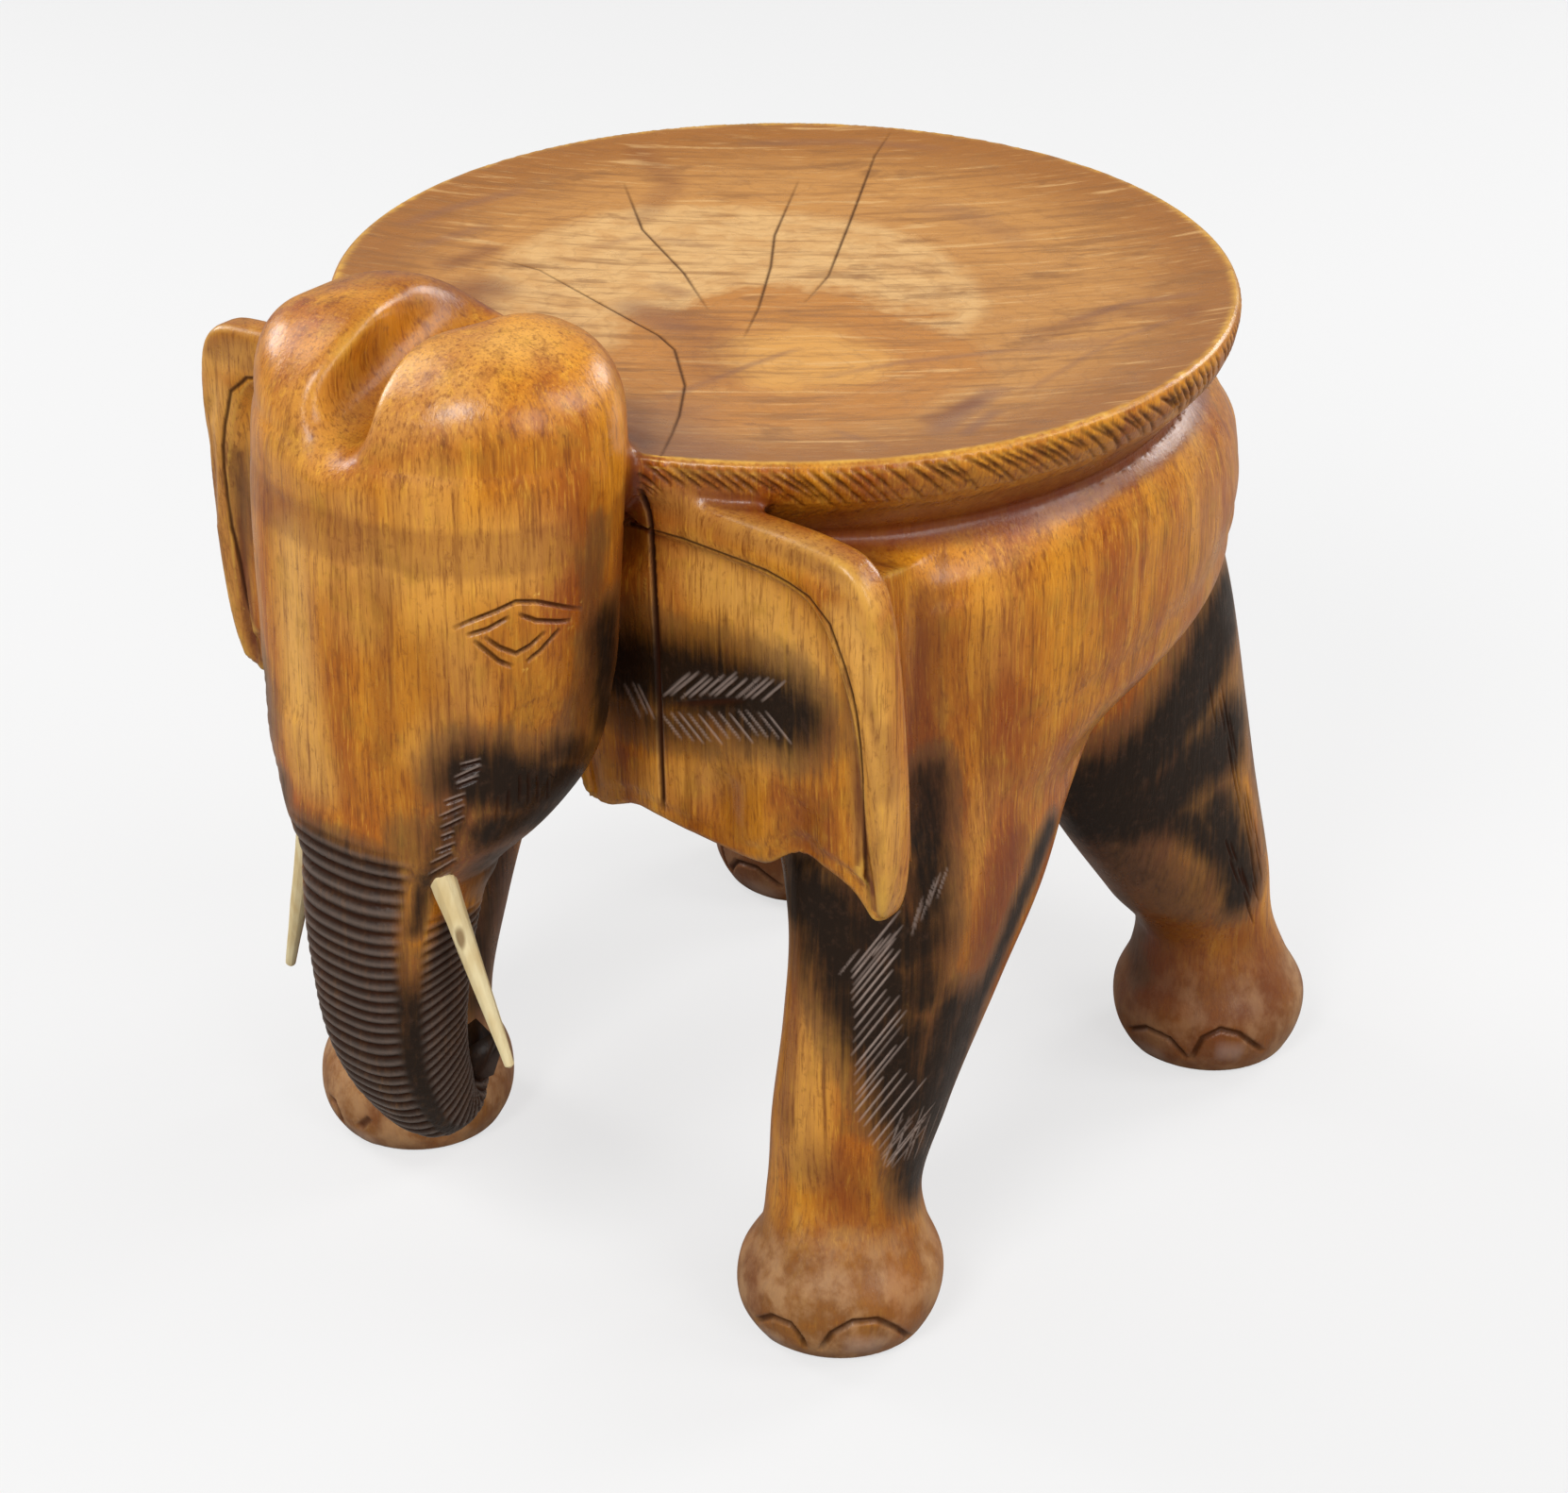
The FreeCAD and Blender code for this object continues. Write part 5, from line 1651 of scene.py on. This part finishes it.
def stained_wood(finish):
    """Honey and russet stain over upright grain, burnt patches, pale scratches and a satin lacquer, with
    painted shade and painted highlights where the marks lay them.
    """
    w = Shader("stained_wood")
    fine = w.noise(w.coordinates((420, 420, 14)), 1.0, 4.0, 0.6)
    fibre = w.noise(w.coordinates((880, 880, 75)), 1.0, 3.0, 0.65)
    broad = w.noise(w.coordinates((46, 46, 5)), 1.0, 3.0, 0.55, 0.6)
    cloud = w.noise(w.coordinates((16, 16, 9)), 1.0, 3.0, 0.6, 0.4)
    patch = w.noise(w.coordinates((70, 70, 60)), 1.0, 4.0, 0.62)
    speck = w.noise(w.coordinates((260, 260, 220)), 1.0, 3.0, 0.65)
    vein = w.noise(w.coordinates((135, 135, 6)), 1.0, 4.0, 0.62, 0.5)

    figure = w.math("ADD", w.math("MULTIPLY", broad, 0.55), w.math("MULTIPLY", cloud, 0.55))
    colour = w.mix(w.span(figure, 0.42, 0.68), finish.russet, finish.honey)
    # Golden wood, partly painted highlights on the domes, the brow and the trunk's edge.
    colour = w.mix(w.math("MULTIPLY", w.mark("gold"), w.span(figure, 0.30, 0.60, 0.35, 0.8)), colour,
                   finish.gilt_and_highlight)
    colour = w.tint(colour, patch, 0.50, 0.72, 0.45, finish.olive)
    colour = w.tint(colour, vein, 0.53, 0.68, 0.42, finish.grain)
    colour = w.tint(colour, vein, 0.44, 0.30, 0.35, finish.honey_light)
    colour = w.tint(colour, fine, 0.53, 0.72, 0.52, finish.grain)
    colour = w.tint(colour, fine, 0.34, 0.20, 0.45, finish.honey_light)
    colour = w.tint(colour, speck, 0.56, 0.72, 0.35, finish.grain)
    colour = w.tint(colour, fibre, 0.52, 0.68, 0.50, finish.grain)
    colour = w.tint(colour, fibre, 0.46, 0.32, 0.35, finish.honey_light)

    split = w.node("ShaderNodeSeparateXYZ")
    w.feed(split.inputs[0], w.coordinates())
    stray = w.math("SUBTRACT", w.noise(w.coordinates((13, 13, 13)), 1.0, 4.0, 0.6, 0.5), 0.5)
    stray_fine = w.math("SUBTRACT", w.noise(w.coordinates((70, 70, 70)), 1.0, 3.0, 0.6), 0.5)
    stray = w.math("ADD", w.math("MULTIPLY", stray, 0.060), w.math("MULTIPLY", stray_fine, 0.022))

    def ring_reach(x, y):
        east = w.math("SUBTRACT", split.outputs[0], x)
        north = w.math("SUBTRACT", split.outputs[1], y)
        squares = w.math("ADD", w.math("MULTIPLY", east, east), w.math("MULTIPLY", north, north))
        return east, north, w.math("SQRT", squares)

    seat_y = SEAT_AXIS_Y * MM
    east, north, reach = ring_reach(PITH_PLACE[0], PITH_PLACE[1] + seat_y)
    far = w.math("ADD", reach, stray)
    rim_far = w.math("ADD", ring_reach(0.0, seat_y)[2], w.math("MULTIPLY", stray, 0.35))
    way = w.math("DIVIDE", w.math("ADD", w.math("MULTIPLY", east, -0.42), w.math("MULTIPLY", north, 0.91)),
                 reach)
    sap_far = ring_reach(SAP_PLACE[0], SAP_PLACE[1] + seat_y)[2]
    sap_far = w.math("ADD", sap_far, w.math("MULTIPLY", stray, 0.45))
    arc = w.math("MULTIPLY", w.span(far, 0.070, 0.086), w.span(sap_far, 0.108, 0.097))
    arc = w.math("MULTIPLY", arc, w.span(w.math("ADD", way, w.math("MULTIPLY", stray, 5.0)), -0.35, 0.45))
    sawn = w.mix(w.span(far, 0.068, 0.086), finish.heart, finish.seat)
    sawn = w.mix(w.span(far, 0.020, 0.045, 0.5, 0.0), sawn, finish.gilt_and_highlight)
    sawn = w.mix(w.math("MULTIPLY", arc, w.span(stray_fine, -0.16, 0.10, 0.42, 0.78)), sawn, finish.sapwood)
    sawn = w.tint(sawn, rim_far, 0.128, 0.176, 0.9, finish.seat_edge)
    turn = (0, 0, -CAMERA_YAW)
    streak = w.noise(w.coordinates((17, 170, 40), turn=turn), 1.0, 4.0, 0.62, 0.4)
    thread = w.noise(w.coordinates((55, 620, 90), turn=turn), 1.0, 3.0, 0.65)
    sawn = w.tint(sawn, streak, 0.50, 0.66, 0.55, finish.seat_dark)
    sawn = w.tint(sawn, streak, 0.43, 0.30, 0.55, finish.sapwood)
    sawn = w.tint(sawn, thread, 0.54, 0.70, 0.35, finish.seat_dark)
    sawn = w.tint(sawn, thread, 0.42, 0.28, 0.30, finish.sapwood)
    ring = w.math("SINE", w.math("MULTIPLY", far, SEAT_RING_PITCH))
    sawn = w.tint(sawn, ring, 0.6, 1.0, 0.16, finish.seat_dark)
    smudge = w.noise(w.coordinates((24, 60, 30), (3.1, 1.7, 0), turn), 1.0, 4.0, 0.65, 0.4)
    sawn = w.tint(sawn, smudge, 0.57, 0.70, 0.6, finish.seat_dark)
    sawn = w.mix(w.math("MULTIPLY", w.mark("smudge"), 0.75), sawn, finish.smudge)
    colour = w.mix(w.mark("seat_top"), colour, sawn)

    feet = w.mix(w.span(patch, 0.40, 0.66), finish.foot, finish.foot_light)
    feet = w.tint(feet, cloud, 0.50, 0.66, 0.3, finish.russet)
    colour = w.mix(w.math("MULTIPLY", w.mark("tan"), w.span(patch, 0.25, 0.50, 0.72, 1.0)), colour, feet)
    # Reddish-brown stain, partly painted shade; the concave hollows are darkened with the same colour.
    colour = w.mix(w.math("MULTIPLY", w.mark("red"), 0.75), colour, finish.stain)
    colour = w.mix(w.math("MULTIPLY", w.mark("hollow"), 0.62), colour, finish.stain)
    # Sharp convex edges in the rubbed-edge colour: rubbed wood and painted highlight.
    gold = w.math("MULTIPLY", w.mark("edge"), w.span(patch, 0.30, 0.60, 0.45, 0.95))
    colour = w.mix(gold, colour, finish.worn_and_highlight)

    # Burnt patches, partly painted shade.
    torch = w.mark("scorch_and_shade")
    torch = w.math("ADD", torch, w.math("MULTIPLY", w.math("SUBTRACT", fine, 0.5), 0.45))
    torch = w.math("ADD", torch, w.math("MULTIPLY", w.math("SUBTRACT", patch, 0.5), 0.35))
    singed = w.span(torch, 0.06, 0.42)
    burnt = w.span(torch, 0.34, 0.94)
    colour = w.mix(w.math("MULTIPLY", singed, 0.62), colour, finish.singed)
    char = w.mix(w.span(speck, 0.50, 0.78, 0.0, 0.7), finish.scorch_and_shade, finish.scorch_light)
    colour = w.mix(burnt, colour, char)
    colour = w.mix(w.mark("cut"), colour, finish.groove)
    colour = w.mix(w.mark("pale"), colour, finish.scratch)
    w.feed(w.shader.inputs["Base Color"], colour)

    rough = w.span(patch, 0.3, 0.7, 0.26, 0.40)
    rough = w.math("ADD", rough, w.math("MULTIPLY", w.mark("cut"), 0.25))
    rough = w.math("ADD", rough, w.math("MULTIPLY", w.mark("tan"), 0.10), clamp=True)
    w.feed(w.shader.inputs["Roughness"], rough)
    dull = w.math("MULTIPLY", w.math("SUBTRACT", 1.0, w.math("MULTIPLY", burnt, 0.55)),
                  w.math("SUBTRACT", 1.0, w.math("MULTIPLY", w.mark("cut"), 0.85, clamp=True)))
    w.feed(w.shader.inputs["Specular IOR Level"], w.math("MULTIPLY", dull, 0.36))
    w.feed(w.shader.inputs["Coat Weight"], w.math("MULTIPLY", dull, 0.15))
    w.feed(w.shader.inputs["Coat Roughness"], 0.2)
    waves = w.noise(w.coordinates((38, 38, 24)), 1.0, 2.0, 0.5)
    normal = w.bump(waves, 0.0016, 0.55)
    grain = w.math("ADD", w.math("MULTIPLY", fibre, 0.5), w.math("MULTIPLY", fine, 0.8))
    normal = w.bump(grain, 0.00045, 0.5, normal)
    normal = w.bump(speck, 0.00030, 0.35, normal)
    w.feed(w.shader.inputs["Normal"], normal)
    return w.material


def pale_wood(finish, knot):
    """Bare whittled wood with long knife facets, faint fibres and one small knot."""
    w = Shader("pale_wood")
    fibre = w.noise(w.coordinates((900, 900, 60)), 1.0, 3.0, 0.6)
    broad = w.noise(w.coordinates((160, 160, 40)), 1.0, 3.0, 0.5)
    colour = w.mix(w.span(broad, 0.35, 0.7), finish.tusk, finish.tusk_deep)
    colour = w.tint(colour, fibre, 0.52, 0.75, 0.35, finish.tusk_deep)
    apart = w.node("ShaderNodeVectorMath", operation="DISTANCE")
    w.feed(apart.inputs[0], w.coordinates((1, 1, 0.45)))
    w.feed(apart.inputs[1], (knot[0] + 0.004, knot[1] - 0.005, knot[2] * 0.45))
    spot = w.span(apart.outputs["Value"], 0.0036, 0.0022)
    colour = w.mix(w.math("MULTIPLY", spot, 0.85), colour, finish.tusk_knot)
    w.feed(w.shader.inputs["Base Color"], colour)
    w.feed(w.shader.inputs["Roughness"], 0.5)
    w.feed(w.shader.inputs["Normal"], w.bump(fibre, 0.0004, 0.6))
    return w.material


def floor_paper(finish):
    """White paper that the camera sees a little brighter than it lights the object."""
    material = bpy.data.materials.new("floor_white")
    material.use_nodes = True
    nodes = material.node_tree.nodes
    links = material.node_tree.links
    nodes.remove(nodes["Principled BSDF"])
    shaded, plain, dim = (nodes.new("ShaderNodeBsdfDiffuse"), nodes.new("ShaderNodeEmission"),
                          nodes.new("ShaderNodeBsdfDiffuse"))
    shaded.inputs["Color"].default_value = (*finish.floor, 1.0)
    dim.inputs["Color"].default_value = (*finish.floor_bounce, 1.0)
    plain.inputs["Color"].default_value = (*finish.backdrop, 1.0)
    paper, seen = nodes.new("ShaderNodeMixShader"), nodes.new("ShaderNodeMixShader")
    paper.inputs[0].default_value = PAPER_GLOW
    links.new(shaded.outputs[0], paper.inputs[1])
    links.new(plain.outputs[0], paper.inputs[2])
    links.new(nodes.new("ShaderNodeLightPath").outputs["Is Camera Ray"], seen.inputs[0])
    links.new(dim.outputs[0], seen.inputs[1])
    links.new(paper.outputs[0], seen.inputs[2])
    links.new(seen.outputs[0], nodes["Material Output"].inputs["Surface"])
    return material


def finish_piece(piece, replaced):
    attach(piece, "root")
    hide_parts(replaced)


def paint_lines(surface, photo, lines, mark, spread):
    """Soft passes of stain and golden wood, which also lay painted shade and painted highlights, repeated on
    the far side where they lie on a flank, a leg or an ear.
    """
    widen, power = spread
    for line, width, strength in lines:
        path = photo.trace(line)
        if len(path) > 1:
            stroke = Stroke(path, width * widen, 0.0, 0.0, power, None, **{mark: strength})
            surface.apply(stroke)
            if abs(path[:, 0].mean()) > FLANK_X or path[:, 2].mean() < LOW_Z:
                surface.apply(stroke.mirrored())


def burn_and_shade_lines(surface, photo):
    """Burns the scorched patches and paints shade in the same burnt colour, and wider and fainter ones on
    the far side.
    """
    for line, width, strength, facing in SCORCH_AND_SHADE_LINES:
        path = photo.trace(line)
        if len(path) > 1:
            for (widen, power), share, turned in ((SCORCH_AND_SHADE_SPREAD, 1.0, False),
                                                  (FAINT_SPREAD, FAINT_SHARE, True)):
                stroke = Stroke(path, width * widen, 0.0, 0.0, power, facing, scorch_and_shade=share * strength)
                surface.apply(stroke.mirrored() if turned else stroke)


def smudge_lines(surface, photo):
    """Smudges the top of the seat."""
    widen, power = SMUDGE_SPREAD
    for line, width, strength in SMUDGE_LINES:
        path = photo.trace(line)
        surface.apply(Stroke(path, width * widen, 0.0, 0.2, power, None, smudge=strength))


class STOOL_OT_body(bpy.types.Operator):
    """Roughs out the log, cuts it to shape, carves and scorches it, paints shade and highlights on it, and
    parts it into its regions
    """
    bl_idname = "stool.body"
    bl_label = "Carve the body"

    def execute(self, context):
        finish = context.scene.stool_finish
        forms = LogForms(millimetres(context))
        rng = np.random.default_rng(7)
        log = rough_out(forms)
        for _ in range(3):
            remesh(log, ROUGH_VOXEL)
            settle(log, forms, 2, 6.0, nearest=True)
        even_out(log, 2)
        settle(log, forms, 1, nearest=True)
        remesh(log, FINE_VOXEL)
        settle(log, forms, 2)
        even_out(log, 1, 0.4)
        settle(log, forms, 2)
        bpy.context.view_layer.update()
        strokes = detail_strokes(forms, Photograph(log), rng)
        surface, wanted = under_strokes(log, strokes, 8.0)
        points = surface.points
        wanted |= (points[:, 1] < -196) & (points[:, 2] < 262) & (np.abs(points[:, 0]) < 44)
        divide_faces(log, wanted)
        settle(log, forms, 1)
        fine_strokes = [stroke for stroke in strokes if stroke.width < 2.5 and len(stroke.path) != 6]
        surface, wanted = under_strokes(log, fine_strokes, 2.5)
        divide_faces(log, wanted)
        settle(log, forms, 1)
        surface = Surface(log_points(log), vertex_normals(log))
        shade_forms(surface, log, forms)
        spare_creases(surface, log)
        photo = Photograph(log)
        for line, width, depth in SCULPT_LINES:
            path = photo.trace(line)
            stroke = Stroke(path, width, depth, 0.45, 1.8)
            surface.apply(stroke)
            surface.apply(stroke.mirrored())
        # Golden paint with painted highlights, burns with painted shade, and reddish-brown stain with
        # painted shade.
        paint_lines(surface, photo, GOLD_AND_HIGHLIGHT_LINES, "gold", GOLD_AND_HIGHLIGHT_SPREAD)
        burn_and_shade_lines(surface, photo)
        paint_lines(surface, photo, RUSSET_AND_SHADE_LINES, "red", STAIN_AND_SHADE_SPREAD)
        smudge_lines(surface, photo)
        trunk_ridges(surface, forms)
        for stroke in strokes:
            surface.apply(stroke)
        put_points(log, surface.points - surface.normals * (surface.cut * surface.open)[:, None])
        keep_marks(log, surface)
        log.data.materials.clear()
        log.data.materials.append(stained_wood(finish))
        pieces = part_regions(log, forms)
        for name, piece in sorted(pieces.items()):
            finish_piece(piece, "carved_body")
        return {"FINISHED"}


def tusk_ends(size):
    """Start of the hidden peg, root and tip of the left tusk."""
    tip, root = [np.array((out * size["head_width"] / 2, -along * size["head_centre"],
                           up * size["head_height"]))
                 for out, along, up in (TUSK_TIP_SHARES, TUSK_ROOT_SHARES)]
    onward = (tip - root) / np.linalg.norm(tip - root)
    return root - onward * size["tusk_peg"], root, tip


class STOOL_OT_tusks(bpy.types.Operator):
    """Whittles the two tusks as faceted pegs of pale wood"""
    bl_idname = "stool.tusks"
    bl_label = "Whittle the tusks"

    def execute(self, context):
        size = millimetres(context)
        start, root, tip = tusk_ends(size)
        peg = size["tusk_peg"]
        length = peg + np.linalg.norm(tip - root)
        knot = root + (tip - root) * TUSK_KNOT_SHARE
        material = pale_wood(context.scene.stool_finish, (knot + (0.0, SEAT_AXIS_Y, 0.0)) * MM)
        thick, thin = size["tusk_diameter"] / 2, size["tusk_tip"] / 2
        rng = np.random.default_rng(3)
        for name, side in (("left_tusk", 1.0), ("right_tusk", -1.0)):
            rings = []
            for share in TUSK_RING_SHARES:
                bare = max(share * length - peg, 0.0) / (length - peg)
                reach = TUSK_TAKEN_IN * thick + (thin - thick) * bare
                reach *= 1.0 if share * length <= peg else rng.uniform(0.96, 1.0)
                rings.append(((0, 0, share * length * MM), reach * MM, reach * MM * rng.uniform(0.95, 1.0)))
            rings.append(((0, 0, (length + 1.2) * MM), thin * 0.35 * MM, thin * 0.35 * MM))
            piece = raise_form(name, rings, corners=TUSK_FACETS)
            piece.data.name = name
            points = np.empty(len(piece.data.vertices) * 3, np.float32)
            piece.data.vertices.foreach_get("co", points)
            points = points.reshape(-1, 3)
            free = points[:, 2] > (peg + 2.0) * MM
            points[free, :2] *= rng.uniform(0.92, 1.03, (int(free.sum()), 1))
            piece.data.vertices.foreach_set("co", points.ravel())
            way = Vector((tip - root) * (side, 1, 1))
            piece.rotation_mode = "QUATERNION"
            piece.rotation_quaternion = way.to_track_quat("Z", "Y")
            piece.location = (start * (side, 1, 1) + (0.0, SEAT_AXIS_Y, 0.0)) * MM
            use_only(piece)
            bpy.ops.object.transform_apply(location=True, rotation=True, scale=True)
            piece.rotation_mode = "XYZ"
            softened = piece.modifiers.new("softened", "BEVEL")
            softened.width = 0.0004
            softened.segments = 2
            softened.limit_method = "ANGLE"
            softened.angle_limit = math.radians(12)
            bpy.ops.object.modifier_apply(modifier="softened")
            bpy.ops.object.shade_smooth_by_angle(angle=math.radians(14))
            piece.data.materials.append(material)
            finish_piece(piece, name)
        return {"FINISHED"}


class STOOL_OT_stage(bpy.types.Operator):
    """Sets the pale floor, the soft lights and the camera at the photograph's angle"""
    bl_idname = "stool.stage"
    bl_label = "Set the stage"

    def execute(self, context):
        finish = context.scene.stool_finish
        deselect_all()
        bpy.ops.mesh.primitive_plane_add(size=14.0, location=(0, 0, 0))
        floor = context.object
        floor.name = "floor"
        floor.data.materials.append(floor_paper(finish))
        world = bpy.data.worlds.new("studio")
        context.scene.world = world
        world.use_nodes = True
        nodes = world.node_tree.nodes
        links = world.node_tree.links
        seen = nodes.new("ShaderNodeBackground")
        seen.inputs["Color"].default_value = (*finish.backdrop, 1.0)
        room = nodes["Background"]
        room.inputs["Color"].default_value = (1, 1, 1, 1)
        room.inputs["Strength"].default_value = ROOM_LIGHT
        mix = nodes.new("ShaderNodeMixShader")
        links.new(nodes.new("ShaderNodeLightPath").outputs["Is Camera Ray"], mix.inputs[0])
        links.new(room.outputs[0], mix.inputs[1])
        links.new(seen.outputs[0], mix.inputs[2])
        links.new(mix.outputs[0], nodes["World Output"].inputs["Surface"])
        for name, place, size, power in LAMPS:
            deselect_all()
            bpy.ops.object.light_add(type="AREA", location=place)
            lamp = context.object
            lamp.name = name
            lamp.data.shape = "DISK"
            lamp.data.size = size
            lamp.data.energy = power
            lamp.rotation_euler = (Vector(LAMP_AIM) - Vector(place)).to_track_quat("-Z", "Y").to_euler()
        deselect_all()
        place = (CAMERA_PLACE + (0.0, SEAT_AXIS_Y, 0.0)) * MM
        bpy.ops.object.camera_add(location=place, rotation=(math.pi / 2 - CAMERA_PITCH, 0, CAMERA_YAW))
        camera = context.object
        camera.data.sensor_width = SENSOR_WIDTH
        camera.data.sensor_fit = "HORIZONTAL"
        camera.data.lens = PHOTO_FOCAL * SENSOR_WIDTH / PHOTO_WIDTH
        camera.data.clip_end = 50.0
        context.scene.camera = camera
        context.scene.view_settings.view_transform = "Standard"
        return {"FINISHED"}


class STOOL_PT_panel(bpy.types.Panel):
    """Lists the steps in the sidebar"""
    bl_label = "Carved elephant stool"
    bl_idname = "STOOL_PT_panel"
    bl_space_type = "VIEW_3D"
    bl_region_type = "UI"
    bl_category = "Stool"

    def draw(self, context):
        layout = self.layout
        for group in (context.scene.stool_sizes, context.scene.stool_finish):
            box = layout.box()
            for name in type(group).__annotations__:
                box.prop(group, name)
        for step in STEPS:
            layout.operator(step.bl_idname)


STEPS = (STOOL_OT_body, STOOL_OT_tusks, STOOL_OT_stage)
CLASSES = (StoolSizes, StoolFinish) + STEPS + (STOOL_PT_panel,)


def register():
    for item in CLASSES:
        bpy.utils.register_class(item)
    bpy.types.Scene.stool_sizes = bpy.props.PointerProperty(type=StoolSizes)
    bpy.types.Scene.stool_finish = bpy.props.PointerProperty(type=StoolFinish)


def unregister():
    del bpy.types.Scene.stool_finish
    del bpy.types.Scene.stool_sizes
    for item in reversed(CLASSES):
        bpy.utils.unregister_class(item)


def main():
    register()
    bpy.ops.stool.body()
    bpy.ops.stool.tusks()
    bpy.ops.stool.stage()


if __name__ == "__main__":
    main()
